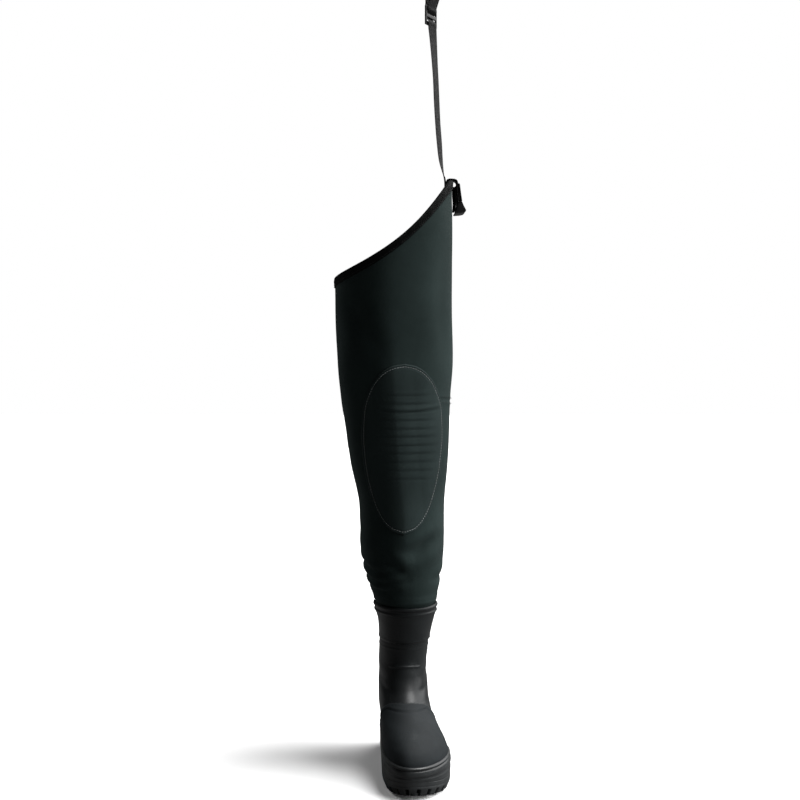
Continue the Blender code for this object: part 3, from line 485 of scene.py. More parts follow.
def counter_edge_distance(y, z):
    """How far a spot lies inside the heel counter's edge."""
    front = np.interp(z / INSTEP_HEIGHT, (0, 0.50, 0.74, 0.95), (-0.20, -0.20, -0.13, 0.0)) * TOE_REACH
    top = np.interp(y, (-0.032, 0.0, 0.036), (0.74, 0.93, 1.02)) * INSTEP_HEIGHT - z
    return np.minimum(y - front, top)


def ramp_in(distance, width):
    return step_up(distance, -width, width)


# Beads and grooves: where each one runs, how far it stands out, and its width
Line = namedtuple("Line", "place rise width")
STEP_HEIGHT = mix(INSTEP_HEIGHT, BOOT_HEIGHT, 0.588)
SHAFT_LINES = (
    Line(BOOT_HEIGHT - 0.0022, 0.0019, 0.0025),
    Line(BOOT_HEIGHT - 0.0105, 0.0014, 0.0015),
    Line(BOOT_HEIGHT - 0.0070, -0.0007, 0.0016),
    Line(STEP_HEIGHT, -0.0010, 0.0013),
    Line(STEP_HEIGHT + 0.0030, 0.0007, 0.0016),
    Line(STEP_HEIGHT - 0.0085, 0.0006, 0.0010),
)
COVER_LINES = (Line(0.0095, -0.0007, 0.0011), Line(0.0068, 0.0005, 0.0014))
COUNTER_LINES = (Line(0.006, -0.0005, 0.0010),)
BINDING_LINES = (Line(0.0032, 0.0005, 0.0010), Line(BINDING_DEPTH - BINDING_SEAM, -0.0004, 0.0011))


def line_relief(lines, place):
    return sum(line.rise * bell(place - line.place, line.width) for line in lines)


def make_boot(looks):
    """Foot and shaft with vamp cover, heel counter, beads and folds; the inside is the same piece."""
    columns = 260
    heights = [mix(FOXING_TOP - 0.004, INSTEP_HEIGHT, i / 60) for i in range(60)]
    heights += [mix(INSTEP_HEIGHT, BOOT_HEIGHT, i / 115) for i in range(116)]
    outer = boot_array(heights, columns)
    lowest = outer[:1].copy()
    base = boot_array([BASE_HEIGHT], columns)
    base[0, :, 2] = [bed_height(y) + CURVED_GAP for y in base[0, :, 1]]
    outer = np.concatenate([mix(base, lowest, s) for s in (0.0, 0.33, 0.66)] + [outer])
    turn = np.array(turn_angles(columns))[None, :] + np.zeros(outer.shape[:2])
    y, z = outer[:, :, 1], outer[:, :, 2]
    normals = surface_normals(outer)
    normals[0] = normals[1]
    into_cover, into_counter = cover_edge_distance(y, z), counter_edge_distance(y, z)
    cover, counter = ramp_in(into_cover, 0.0009), ramp_in(into_counter, 0.0009)
    relief = OVERLAY_WALL * cover + (OVERLAY_WALL - 0.0004) * counter
    relief += line_relief(COVER_LINES, into_cover) + line_relief(COUNTER_LINES, into_counter)
    relief += line_relief(SHAFT_LINES, z)
    rib = bell(z - 0.153 - 0.0012 * np.cos(turn * 3), 0.0011)
    relief += 0.0013 * rib * step_up(np.cos(turn), 0.72, 0.86)
    relief += fold_relief(BOOT_FOLDS, turn, outer, looks.fold_depth)
    relief += 0.0003 * np.sin(turn * 5 + z * 60) * np.sin(z * 90 + 1.0) * step_up(z, 0.14, 0.16)
    skin = outer + normals * relief[:, :, None]
    layer = np.maximum(cover, 0.5 * counter)

    top = outer[-1:]
    way = level_normals(top)
    lip = []
    for share in (0.25, 0.5, 0.75, 1.0):
        bow = math.sin(math.pi * share)
        ring = mix(skin[-1:], top - way * RUBBER_WALL, share)
        ring[:, :, 2] += 0.0010 * bow
        lip.append(ring)
    inner = outer - normals * RUBBER_WALL
    inner[-1] = (top - way * RUBBER_WALL)[0]
    picks = list(range(len(inner) - 4, 3, -6)) + [0]
    points = np.concatenate([skin] + lip + [inner[j:j + 1] for j in picks])
    values = np.concatenate([layer, np.full((len(lip) + len(picks), columns), 0.0)])
    values[len(skin) + 4:] = -1.0
    piece = grid_piece("boot_skin", points, [boot_rubber(looks)], uv_size=(0.32, 0.55), values=values)
    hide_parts("boot_upper", "vamp_cover", "heel_counter")


def sole_rings(columns, margin):
    """The last's outline at the sole, moved outwards by a margin."""
    base = boot_array([BASE_HEIGHT], columns)
    return (base + level_normals(base) * margin)[0]


def middle_line(outline):
    """For each point of the outline, the middle between it and its partner across the foot."""
    return (outline + np.roll(outline[::-1], 1, axis=0)) / 2


# How far up the foxing, and how far out
FOXING_PROFILE = (
    (0.00, 1.00), (0.10, 1.02), (0.24, 1.00), (0.30, 0.86), (0.36, 0.72), (0.44, 0.72),
    (0.49, 0.86), (0.54, 1.04), (0.64, 1.08), (0.74, 1.00), (0.79, 0.80), (0.82, 0.70),
    (0.85, 0.84), (0.89, 1.04), (0.93, 1.02), (0.97, 0.80), (1.00, 0.45),
)


def make_foxing(looks):
    """Band round the foot: flush foot, groove and a bead along its top."""
    columns = 300
    low = boot_array([BASE_HEIGHT], columns)
    middle = boot_array([0.33 * INSTEP_HEIGHT], columns)
    top = boot_array([FOXING_TOP], columns)
    way = level_normals(low)
    shares = tuple(row[0] for row in FOXING_PROFILE)
    reaches = tuple(row[1] for row in FOXING_PROFILE)

    def wall(share):
        return mix(low, middle, share * 2) if share < 0.5 else mix(middle, top, share * 2 - 1)

    low[0, :, 2] = [bed_height(y) + CURVED_GAP for y in low[0, :, 1]]
    rows = []
    for i in range(57):
        share = i / 56
        rows.append(wall(share) + way * SOLE_MARGIN * smooth_table(shares, reaches, share))
    rows += [wall(share) + way * CURVED_GAP for share in (1.0, 0.5, 0.0)]
    piece = grid_piece("foxing_band", np.concatenate(rows), [sole_rubber(looks, "foxing")], wrap_rows=True,
                       uv_size=(0.68, 0.06))
    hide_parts("foxing")


def lug_mask(ring):
    """1 at the middle of each notch between the side lugs, 0 on the lugs and along the arch."""
    step = np.linalg.norm(np.roll(ring, -1, axis=0)[:, :2] - ring[:, :2], axis=1)
    total = step.sum()
    place = np.concatenate([[0], np.cumsum(step)[:-1]])
    pitch = total / round(total / LUG_PITCH)
    offset = np.abs((place / pitch) % 1 - 0.5) * pitch
    notch = 1 - step_up(offset, LUG_NOTCH_WIDTH / 2 - 0.0008, LUG_NOTCH_WIDTH / 2 + 0.0008)
    y = ring[:, 1]
    away = step_up(y - HEEL_BREAST, 0.004, 0.006) + step_up(BALL_EDGE - y, 0.004, 0.006)
    return notch * np.clip(away, 0, 1)


def tread_relief(x, y, edge):
    """How far the sole's underside lies above the ground; edge is the way in from the outline."""
    chevron = y - 0.30 * np.abs(x - 0.006)
    forefoot = step_up(-y, -BALL_EDGE + 0.003, -BALL_EDGE + 0.006)
    heel = step_up(y, HEEL_BREAST + 0.003, HEEL_BREAST + 0.006)
    bars = np.abs((chevron / 0.0120) % 1 - 0.5) * 0.0120
    groove = 1 - step_up(bars, 0.0014, 0.0028)
    channel = 1 - step_up(np.abs(edge - 0.0125), 0.0012, 0.0026)
    inside = step_up(edge, 0.0110, 0.0125)
    cuts = np.maximum(groove * inside, channel)
    arch = step_up(HEEL_BREAST - y, 0.0, 0.004) * step_up(y - BALL_EDGE, 0.0, 0.010)
    ribs = 0.0008 * np.sin(y * 2 * math.pi / 0.006) * arch
    return 0.0034 * cuts * (forefoot + heel) + ARCH_RISE * arch + ribs


def make_outsole(looks):
    """Outsole with heel, arch and toe spring, side lugs and a grooved tread."""
    columns = 720
    outline = sole_rings(columns, SOLE_MARGIN)
    outward = level_normals(boot_array([BASE_HEIGHT], columns))[0]
    notch = lug_mask(outline)
    ground = np.array([ground_height(y) for y in outline[:, 1]])
    bed = np.array([bed_height(y) for y in outline[:, 1]])
    arch = tread_relief(outline[:, 0], outline[:, 1], np.full(columns, -1.0))
    rows = []
    centre = middle_line(outline)

    def ring(reach, height):
        spot = outline + outward * reach[:, None]
        spot[:, 2] = height
        return spot

    top = ring(np.zeros(columns), bed)
    for share in (0.0, 0.5, 0.96):
        flat = mix(centre, top, share)
        flat[:, 2] = [bed_height(y) for y in flat[:, 1]]
        rows.append(flat)
    side_steps = 30
    for i in range(side_steps + 1):
        share = i / side_steps
        low = ground + arch
        height = mix(bed - 0.0006, low + 0.0010, share)
        above = height - ground
        taper = SOLE_TAPER * (1 - step_up(above, 0.0, LUG_NOTCH_HEIGHT * 1.2))
        closed = step_up(above, LUG_NOTCH_HEIGHT - 0.0012, LUG_NOTCH_HEIGHT + 0.0004)
        inset = notch * LUG_NOTCH_DEPTH * (1 - closed)
        line = 0.0005 * bell(above - 0.0125, 0.0009)
        rows.append(ring(-taper - inset - line, height))
    edge_ring = rows[-1].copy()
    half = np.linalg.norm(edge_ring[:, :2] - centre[:, :2], axis=1)
    for share in [1 - 0.0012 * k / 0.030 for k in range(1, 14)] + [0.46 * (1 - k / 22) for k in range(1, 23)]:
        spot = mix(centre, edge_ring, share)
        edge = half * (1 - share) + notch * LUG_NOTCH_DEPTH
        lift = tread_relief(spot[:, 0], spot[:, 1], edge)
        spot[:, 2] = [ground_height(y) for y in spot[:, 1]] + lift
        rows.append(spot)
    piece = grid_piece("outsole_tread", np.array(rows), [sole_rubber(looks, "outsole")], uv_size=(0.68, 0.2))
    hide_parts("outsole")


# From the middle of the insole's underside round its edge to the middle of its top: reach and height
INSOLE_PROFILE = (
    (0.0, 0.0), (0.5, 0.0), (0.98, 0.0), (1.0, 0.0008), (1.0, 0.0030), (0.985, 0.0038),
    (0.95, 0.0041), (0.8, 0.0040), (0.6, 0.0037), (0.4, 0.0034), (0.2, 0.0033), (0.0, 0.0033),
)


def make_insole(looks):
    """Loose foam sole with a cloth top and a soft rounded edge."""
    columns = 120
    base = boot_array([BASE_HEIGHT], columns)
    outline = (base - level_normals(base) * (RUBBER_WALL + 0.0012))[0]
    outline[:, 2] = [bed_height(y) + CURVED_GAP for y in outline[:, 1]]
    centre = middle_line(outline)
    rows = []
    for share, rise in INSOLE_PROFILE:
        spot = mix(centre, outline, share)
        spot[:, 2] = [bed_height(y) + CURVED_GAP + rise for y in spot[:, 1]]
        rows.append(spot)
    piece = grid_piece("insole_cloth", np.array(rows), [insole_cloth(looks)], uv_size=(0.68, 0.2))
    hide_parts("insole")


# The leg

def leg_surface(angle, height):
    """Outer surface of the neoprene, also where it is tucked into the boot."""
    if height >= FREE_HEIGHT:
        return leg_point(angle, height)
    x, y, _ = boot_point(angle, min(height, BOOT_HEIGHT))
    back, front = boot_section(BOOT_HEIGHT)[:2]
    middle = (back - front) / 2
    scale = 1 - (RUBBER_WALL + TUCK_GAP) / (CUFF_WIDTH / 2)
    share = max(0.0, (height - BOOT_HEIGHT) / (FREE_HEIGHT - BOOT_HEIGHT))
    above = leg_point(angle, FREE_HEIGHT)
    return mix(x * scale, above[0], share), mix(middle + (y - middle) * scale, above[1], share), height


def front_ridge(x, height):
    """Pressed ridge that wanders down the front of the leg."""
    line = np.interp(height, (0.302, 0.384, 0.4135, 0.4915, 0.614),
                     (-0.0023, -0.0038, -0.0069, -0.0145, -0.0222))
    fade = step_up(height, 0.285, 0.330) * (1 - step_up(height, 0.600, 0.680))
    away = np.abs(x - line)
    return 0.0030 * fade * np.clip(1 - np.sqrt(away ** 2 + 0.0015 ** 2) / 0.030, 0, 1)


DART_HEIGHT = 0.566


def dart_rise(turn):
    return 0.003 * np.sin(np.asarray(turn) * 2)


def dart_span(turn):
    """The dart's seam runs from the pad's outer edge to the back seam."""
    degrees = np.degrees(turn) % 360
    return step_up(degrees, 40, 46) * (1 - step_up(degrees, 176, 180))


def leg_relief(rings, turn, looks):
    """Folds, waves, pressed ridge, dart and back seam, which fade out at the cuff and under the binding."""
    height = rings[:, :, 2]
    free = step_up(height, 0.250, 0.262)
    rim = np.array([rim_height(a) for a in turn[0]])[None, :]
    calm = 1 - step_up(height, rim - 0.035, rim - 0.016)
    relief = fold_relief(LEG_FOLDS, turn, rings, looks.fold_depth)
    relief += 0.0013 * bell(height - 0.343, 0.014) * bell(np.degrees(turn) - 295, 24)
    relief += 0.0011 * np.sin(turn * 2 + 14 * height) * np.sin(24 * height + 0.6)
    relief += 0.0006 * np.sin(turn * 5 - 20 * height + 1.0) * np.sin(33 * height)
    relief += 0.0010 * bell(height - 0.258, 0.004)
    relief += front_ridge(rings[:, :, 0], height) * (np.cos(turn) > 0)
    dart = height - DART_HEIGHT - dart_rise(turn)
    relief += (0.0004 * bell(np.abs(dart) - 0.005, 0.0035) - 0.0005 * bell(dart, 0.0015)) * dart_span(turn)
    seam = np.abs(turn - math.pi) * SEAM_RADIUS
    relief -= 0.0010 * bell(seam, 0.0014)
    relief += 0.0005 * bell(seam - 0.0045, 0.0030)
    return relief * free * calm


def leg_grid(columns, looks):
    turn = turn_angles(columns)
    heights = [mix(LEG_BOTTOM, FREE_HEIGHT, i / 14) for i in range(14)]
    heights += [mix(FREE_HEIGHT, RIM_BLEND_HEIGHT, i / 170) for i in range(170)]
    rows = [[leg_surface(angle, height) for angle in turn] for height in heights]
    top = 84
    for i in range(top + 1):
        rows.append([leg_point(angle, mix(RIM_BLEND_HEIGHT, rim_height(angle) - RIM_DROP, i / top))
                     for angle in turn])
    outer = np.array(rows)
    angles = np.array(turn)[None, :] + np.zeros(outer.shape[:2])
    normals = surface_normals(outer)
    normals[-1] = level_normals(outer[-1:])[0]
    return outer, normals, leg_relief(outer, angles, looks)


def make_leg(looks):
    """Neoprene tube with its folds, dart and back seam; the cloth-faced inside is the same piece."""
    columns = 252
    outer, normals, relief = leg_grid(columns, looks)
    skin = outer + normals * relief[:, :, None]
    inner = skin - normals * NEOPRENE_WALL
    picks = list(range(len(inner) - 1, 0, -5)) + [0]
    points = np.concatenate([skin] + [inner[j:j + 1] for j in picks])
    values = np.concatenate([np.zeros(skin.shape[:2]), np.full((len(picks), columns), 1.0)])
    piece = grid_piece("leg_neoprene", points, [neoprene(looks, "leg", looks.neoprene_colour)],
                       uv_size=(0.56, 1.35), values=values)
    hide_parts("neoprene_leg")


def leg_spot(x, height):
    """Spot and outward direction on the front of the leg at a sideways place and a height."""
    width, centre, _, _, _ = leg_section(height)
    across = max(-1.0, min(1.0, (x - centre) / (width / 2)))
    angle = math.asin(signed_power(across, 1 / SECTION_SQUARENESS))
    return surface_spot(angle, height)


def surface_spot(angle, height):
    small = 0.004
    here = Vector(leg_point(angle, height))
    round_way = Vector(leg_point(angle + small, height)) - Vector(leg_point(angle - small, height))
    up_way = Vector(leg_point(angle, height + 0.001)) - Vector(leg_point(angle, height - 0.001))
    return here, round_way.cross(up_way).normalized()


def pad_outline(count):
    """The pad's egg outline, from its top round the outer side."""
    spots = []
    for k in range(count):
        turn = 2 * math.pi * k / count
        share = (1 + math.cos(turn)) / 2
        half = smooth_table(PAD_COLUMNS["height"], PAD_COLUMNS["half"], share) * PAD_WIDTH
        spots.append((PAD_CENTRE + math.copysign(half, math.sin(turn)), PAD_BOTTOM + share * PAD_HEIGHT))
    return spots


def toward_edge(edge, share):
    """A place between the pad's middle and a spot of its outline."""
    return mix(PAD_MIDDLE[0], edge[0], share), mix(PAD_MIDDLE[1], edge[1], share)


PadRib = namedtuple("PadRib", "height bow depth middle reach")
PAD_RIBS = (
    PadRib(0.574, 0.004, 0.0004, 0.000, 0.045),
    PadRib(0.561, 0.003, 0.0005, 0.000, 0.048),
    PadRib(0.549, 0.008, 0.0013, 0.014, 0.058),
    PadRib(0.536, 0.002, 0.0006, -0.004, 0.050),
    PadRib(0.523, 0.002, 0.0006, -0.002, 0.052),
    PadRib(0.511, 0.001, 0.0006, 0.000, 0.052),
    PadRib(0.498, 0.001, 0.0006, 0.000, 0.052),
    PadRib(0.486, 0.000, 0.0006, 0.000, 0.052),
    PadRib(0.473, 0.000, 0.0005, 0.000, 0.050),
    PadRib(0.460, -0.001, 0.0005, 0.000, 0.048),
    PadRib(0.447, -0.002, 0.0004, 0.000, 0.044),
)


def rib_depth(x, z):
    """Depth of the ribs across the pad: each is a groove with a lower swell above it."""
    depth = 0.0
    for row in PAD_RIBS:
        level = row.height + row.bow * ((x - PAD_CENTRE) / 0.06) ** 2
        fade = max(0.0, 1 - abs((x - row.middle) / row.reach) ** 3)
        groove = math.exp(-((z - level) / 0.0016) ** 2)
        swell = math.exp(-((z - level - 0.0045) / 0.0032) ** 2)
        depth += 1.5 * row.depth * fade * (groove - 0.5 * swell)
    return depth


def make_knee_pad(looks):
    """Pad with rounded edges, a sunk line of stitching and faint ribs across the knee."""
    outline = pad_outline(240)
    steps = 84

    def top_face(x, z, inset):
        lift = PAD_WALL * math.sqrt(max(0.0, 1 - max(0.0, 1 - inset / 0.0026) ** 2))
        lift += 0.0009 * math.sin(min(1.0, inset / 0.03) * math.pi / 2)
        lift -= 0.0011 * math.exp(-((inset - looks.stitch_inset) / 0.0013) ** 2)
        lift -= rib_depth(x, z) * min(1.0, inset / 0.012)
        return CURVED_GAP + max(0.0, lift)

    def under_face(x, z, inset):
        return CURVED_GAP * 0.5

    def ring(share, face):
        """The outline drawn in to a share of its reach, on one of the two faces."""
        spots = []
        for edge in outline:
            x, z = toward_edge(edge, share)
            spot, way = leg_spot(x, z)
            lift = face(x, z, (1 - share) * math.dist(edge, PAD_MIDDLE))
            spots.append(tuple(spot + way * (lift + float(front_ridge(x, z)))))
        return spots

    rows = [ring(1 - (1 - i / steps) ** 1.15, top_face) for i in range(steps + 1)]
    rows += [ring(share, under_face) for share in (0.9, 0.5, 0.0)]
    piece = grid_piece("pad_neoprene", np.array(rows), [neoprene(looks, "pad", looks.pad_colour)],
                       uv_size=(0.6, 0.15))
    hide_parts("knee_pad")


def add_stitch(bm, start, end, out, radius):
    """One sunk stitch of thread between two holes."""
    along = end - start
    length = along.length
    along.normalize()
    side = out.cross(along).normalized()
    up = along.cross(side)
    turn = Matrix((along, side, up)).transposed().to_4x4()
    size = Matrix.Diagonal((length / 2, radius, radius * 0.9, 1.0))
    place = Matrix.Translation((start + end) / 2)
    bmesh.ops.create_uvsphere(bm, u_segments=6, v_segments=6, radius=1.0, matrix=place @ turn @ size)


def sew(bm, spots, looks, radius):
    """Stitches along a line of spots with their outward directions, at the stitch's pitch."""
    travelled = [0.0]
    for (a, _), (b, _) in zip(spots, spots[1:]):
        travelled.append(travelled[-1] + (b - a).length)
    count = max(1, int(travelled[-1] / looks.stitch_pitch))
    share = looks.stitch_length / looks.stitch_pitch

    def at(distance):
        k = next((i for i in range(1, len(travelled)) if travelled[i] >= distance), len(travelled) - 1)
        t = (distance - travelled[k - 1]) / max(1e-9, travelled[k] - travelled[k - 1])
        return spots[k - 1][0].lerp(spots[k][0], t), spots[k - 1][1].lerp(spots[k][1], t).normalized()

    for n in range(count):
        start, out = at(travelled[-1] * n / count)
        end, _ = at(travelled[-1] * (n + share) / count)
        add_stitch(bm, start, end, out, radius)


def make_pad_stitches(looks):
    """Light thread round the knee pad."""
    bm = bmesh.new()
    spots = []
    outline = pad_outline(240)
    for edge in outline + outline[:1]:
        share = 1 - looks.stitch_inset / math.dist(edge, PAD_MIDDLE)
        spot, way = leg_spot(*toward_edge(edge, share))
        ridge = float(front_ridge(spot.x, spot.z))
        spots.append((spot + way * (CURVED_GAP + PAD_WALL - 0.0003 + ridge), way))
    sew(bm, spots, looks, 0.00055)
    piece = finish_piece(bm, "pad_stitches", [thread(looks, "pad", looks.pad_thread_colour)])


def make_leg_stitches(looks):
    """Dark thread along the dart and the back seam."""
    bm = bmesh.new()
    for side in (-1, 1):
        spots = []
        for k in range(120):
            angle = math.radians(mix(47, 176, k / 119))
            spot, way = surface_spot(angle, DART_HEIGHT + float(dart_rise(angle)) + side * 0.0042)
            spots.append((spot + way * 0.0008, way))
        sew(bm, spots, looks, 0.0003)
        spots = []
        for k in range(160):
            height = mix(0.262, rim_height(math.pi) - 0.02, k / 159)
            spot, way = surface_spot(math.pi + side * 0.045, height)
            spots.append((spot + way * 0.0006, way))
        sew(bm, spots, looks, 0.00035)
    piece = finish_piece(bm, "leg_stitches", [thread(looks, "leg", looks.leg_thread_colour)])


def make_binding(looks):
    """Folded tape over the collar's edge, with a fold line near its top and a line of stitches."""
    columns = 360
    turn = turn_angles(columns)
    drop = BINDING_WALL + 0.0008

    def face(depth):
        return np.array([[leg_point(a, rim_height(a) - drop - depth) for a in turn]])

    top = face(0.0)
    way = level_normals(top)
    rows = []
    near, far = CURVED_GAP, CURVED_GAP + BINDING_WALL
    steps = 14
    places = np.array(turn)[None, :, None]
    wave = 0.00025 * np.sin(places * 37) + 0.0002 * np.sin(places * 23 + 1)
    for i in range(steps + 1):
        depth = mix(BINDING_DEPTH, 0.0, i / steps)
        lift = (far if i else near) + line_relief(BINDING_LINES, depth)
        rows.append(face(depth) + way * (lift + wave * (1 if i else 0)))
    middle = top - way * (NEOPRENE_WALL / 2)
    reach = NEOPRENE_WALL / 2 + far
    for k in range(1, 10):
        angle = math.pi * k / 10
        ring = middle + way * reach * math.cos(angle)
        ring[:, :, 2] += (drop - 0.0002) * math.sin(angle) ** 0.8
        rows.append(ring)
    for i in range(steps + 1):
        depth = mix(0.0, BINDING_DEPTH, i / steps)
        lift = far if i < steps else near
        rows.append(face(depth) - way * (NEOPRENE_WALL + lift))
    for depth in (0.008, 0.0):
        rows.append(face(depth) - way * (NEOPRENE_WALL + near))
    for depth in (0.0, 0.008):
        rows.append(face(depth) + way * near)
    piece = grid_piece("binding_fold", np.concatenate(rows), [tape(looks)], wrap_rows=True,
                       uv_size=(0.62, 0.045))
    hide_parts("collar_binding")
    bm = bmesh.new()
    for side in (1, -1):
        spots = []
        rings = face(BINDING_DEPTH - BINDING_SEAM)
        base = rings + way * (far - 0.0003) if side > 0 else rings - way * (NEOPRENE_WALL + far - 0.0003)
        for k in range(columns + 1):
            i = k % columns
            spots.append((Vector(base[0, i]), Vector(way[0, i]) * side))
        sew(bm, spots, looks, 0.00038)
    piece = finish_piece(bm, "collar_stitches", [thread(looks, "collar", looks.leg_thread_colour)])


# Webbing

def wall_bow():
    radius = (THIGH_DEPTH / 2) ** 2 / (THIGH_WIDTH / 2)
    return 1.25 * (WEBBING_WIDTH / 2) ** 2 / (2 * radius)


def strap_layers():
    """Sideways places of what lies against the wall at the peak."""
    x, y, _ = leg_point(math.pi / 2, PEAK_HEIGHT)
    outside = x + CURVED_GAP + BINDING_WALL
    tab = x - NEOPRENE_WALL - CURVED_GAP - BINDING_WALL - wall_bow() - CURVED_GAP - WEBBING_WALL / 2
    return y, outside, tab, tab - WEBBING_WALL - CURVED_GAP


def smooth_path(spots, step):
    """Points on a smooth curve through the spots, about a step apart."""
    result = []
    last = len(spots) - 1
    for i in range(last):
        p0, p1, p2, p3 = (np.array(spots[max(0, min(last, i + k))]) for k in (-1, 0, 1, 2))
        count = max(2, round(np.linalg.norm((p2 - p1)[:3]) / step))
        for k in range(count):
            t = k / count
            result.append(0.5 * (2 * p1 + (p2 - p0) * t + (2 * p0 - 5 * p1 + 4 * p2 - p3) * t * t
                                 + (3 * p1 - p0 - 3 * p2 + p3) * t ** 3))
    result.append(np.array(spots[-1]))
    return result


def webbing_ribbon(name, spots, finish, wall=WEBBING_WALL, width=WEBBING_WIDTH):
    """Flat woven band with thinner rounded edges along a path of centres and twists in degrees."""
    path = smooth_path([(*centre, twist) for centre, twist in spots], 0.0022)
    section = []
    for k in range(36):
        turn = 2 * math.pi * k / 36
        section.append((signed_power(math.cos(turn), 0.42), signed_power(math.sin(turn), 0.62)))
    rows = []
    last = len(path) - 1
    length = 0.0
    for i, spot in enumerate(path):
        centre = Vector(spot[:3])
        ahead = (Vector(path[min(i + 1, last)][:3]) - Vector(path[max(i - 1, 0)][:3])).normalized()
        twist = math.radians(spot[3])
        across = Vector((math.sin(twist), math.cos(twist), 0))
        across = (across - ahead * across.dot(ahead)).normalized()
        out = across.cross(ahead).normalized()
        if i:
            length += (centre - Vector(path[i - 1][:3])).length
        rows.append([tuple(centre + across * a * width / 2 + out * b * wall / 2) for a, b in section])
    first, end = np.mean(rows[0], axis=0), np.mean(rows[-1], axis=0)
    points = np.array([[tuple(first)] * 36] + rows + [[tuple(end)] * 36])
    return grid_piece(name, points, [finish], uv_size=(2 * width, length))


def slider_axes():
    turn = math.radians(SLIDER_TWIST)
    return Vector((math.cos(turn), -math.sin(turn), 0)), Vector((math.sin(turn), math.cos(turn), 0))


def make_strap(looks):
    """Webbing from inside the collar through the slider, round the belt loop and back."""
    y, _, _, strap_x = strap_layers()
    spots = [(Vector((strap_x + row.side, y, PEAK_HEIGHT + row.rise)), row.twist) for row in STRAP]
    out, _ = slider_axes()
    weave = SLIDER_WALL / 2 + WEBBING_WALL / 2 + WEBBING_GAP
    window = (SLIDER_HEIGHT - 3 * SLIDER_BAR) / 2

    def spot(offset, height):
        lean = LOOP_LEAN * max(0.0, height - SLIDER_BOTTOM - SLIDER_HEIGHT)
        return Vector((strap_x + SLIDER_SIDE + lean, y, height)) + out * offset, SLIDER_TWIST

    bars = [SLIDER_BOTTOM + k * (SLIDER_BAR + window) for k in range(3)]
    for offset, height in ((weave, bars[0] - 0.002), (weave, bars[0] + SLIDER_BAR), (-weave, bars[1]),
                           (-weave, bars[1] + SLIDER_BAR), (weave, bars[2]), (weave, bars[2] + SLIDER_BAR)):
        spots.append(spot(offset, height))
    loop_bottom = SLIDER_BOTTOM + SLIDER_HEIGHT
    radius = LOOP_SPREAD / 2
    middle = weave - radius
    spots.append(spot(middle + radius, loop_bottom + 0.30 * LOOP_HEIGHT))
    top = loop_bottom + LOOP_HEIGHT - radius
    for k in range(7):
        turn = math.pi * k / 6
        spots.append(spot(middle + radius * math.cos(turn), top + radius * math.sin(turn)))
    spots.append(spot(middle - radius, loop_bottom + 0.35 * LOOP_HEIGHT))
    spots.append(spot(-weave - 0.0010, loop_bottom + 0.004))
    spots.append(spot(-weave, loop_bottom - 0.002))
    spots.append(spot(-weave, bars[2] - 0.2 * window))
    piece = webbing_ribbon("strap_band", spots, webbing(looks, "strap"))
    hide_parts("hanger_strap")


def make_buckle_webbing(looks):
    """Tab over the peak and the doubled webbing behind the buckle, with their box of stitches."""
    y, outside, tab_x, strap_x = strap_layers()
    over = PEAK_HEIGHT + WEBBING_WALL / 2 + WEBBING_GAP
    spots = [(tab_x, PEAK_HEIGHT - 0.040), (tab_x, PEAK_HEIGHT - 0.003), (tab_x + 0.0016, over),
             (outside - 0.003, over + 0.0006), (outside + 0.0030, over), (outside + 0.0066, over - 0.0022),
             (outside + 0.0080, over - 0.0072)]
    finish = webbing(looks, "tab")
    piece = webbing_ribbon("tab_band", [(Vector((x, y, z)), 0) for x, z in spots], finish)
    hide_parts("buckle_tab")
    wall = 2.4 * WEBBING_WALL
    near = outside + CURVED_GAP + wall / 2
    spots = [(near, 0.0110), (near, 0.0220), (near + 0.0008, 0.0330), (near + 0.0006, 0.0420), (near, 0.0485)]
    places = [(Vector((x, y, PEAK_HEIGHT - drop)), 0) for x, drop in spots]
    piece = webbing_ribbon("return_band", places, finish, wall=wall)
    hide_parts("buckle_return")
    bm = bmesh.new()
    face = strap_x - WEBBING_WALL / 2 - 0.0002
    half, low, high = 0.0095, -0.044, -0.020
    box = ((-half, low), (half, low), (half, high), (-half, high), (-half, low), (half, high), (-half, high),
           (half, low))
    out = Vector((-1, 0, 0))
    for a, b in zip(box, box[1:]):
        ends = [Vector((face, y + side, PEAK_HEIGHT + rise)) for side, rise in (a, b)]
        sew(bm, [(ends[0], out), (ends[1], out)], looks, 0.0004)
    piece = finish_piece(bm, "strap_stitches", [thread(looks, "strap", looks.leg_thread_colour)])


# Plastic

def round_rims(bm, offset):
    """Rounds every edge at which the surface turns by more than about 34 degrees."""
    rims = [edge for edge in bm.edges if edge.calc_face_angle(0) > 0.6]
    bmesh.ops.bevel(bm, geom=rims, offset=offset, segments=3, affect="EDGES", profile=0.5, material=-1)


def push_out(bm, faces, way):
    """Extrudes faces along a way and returns the new ones."""
    pushed = bmesh.ops.extrude_face_region(bm, geom=faces)["geom"]
    bmesh.ops.translate(bm, vec=way, verts=[item for item in pushed if isinstance(item, bmesh.types.BMVert)])
    return [item for item in pushed if isinstance(item, bmesh.types.BMFace)]


def sink_front(bm, slant, area, border, depth):
    """Sinks the middle of each larger face that looks outwards."""
    for face in [face for face in bm.faces if face.normal.x > slant and face.calc_area() > area]:
        bmesh.ops.inset_region(bm, faces=[face], thickness=border, use_even_offset=True)
        bmesh.ops.translate(bm, vec=-face.normal * depth, verts=face.verts)


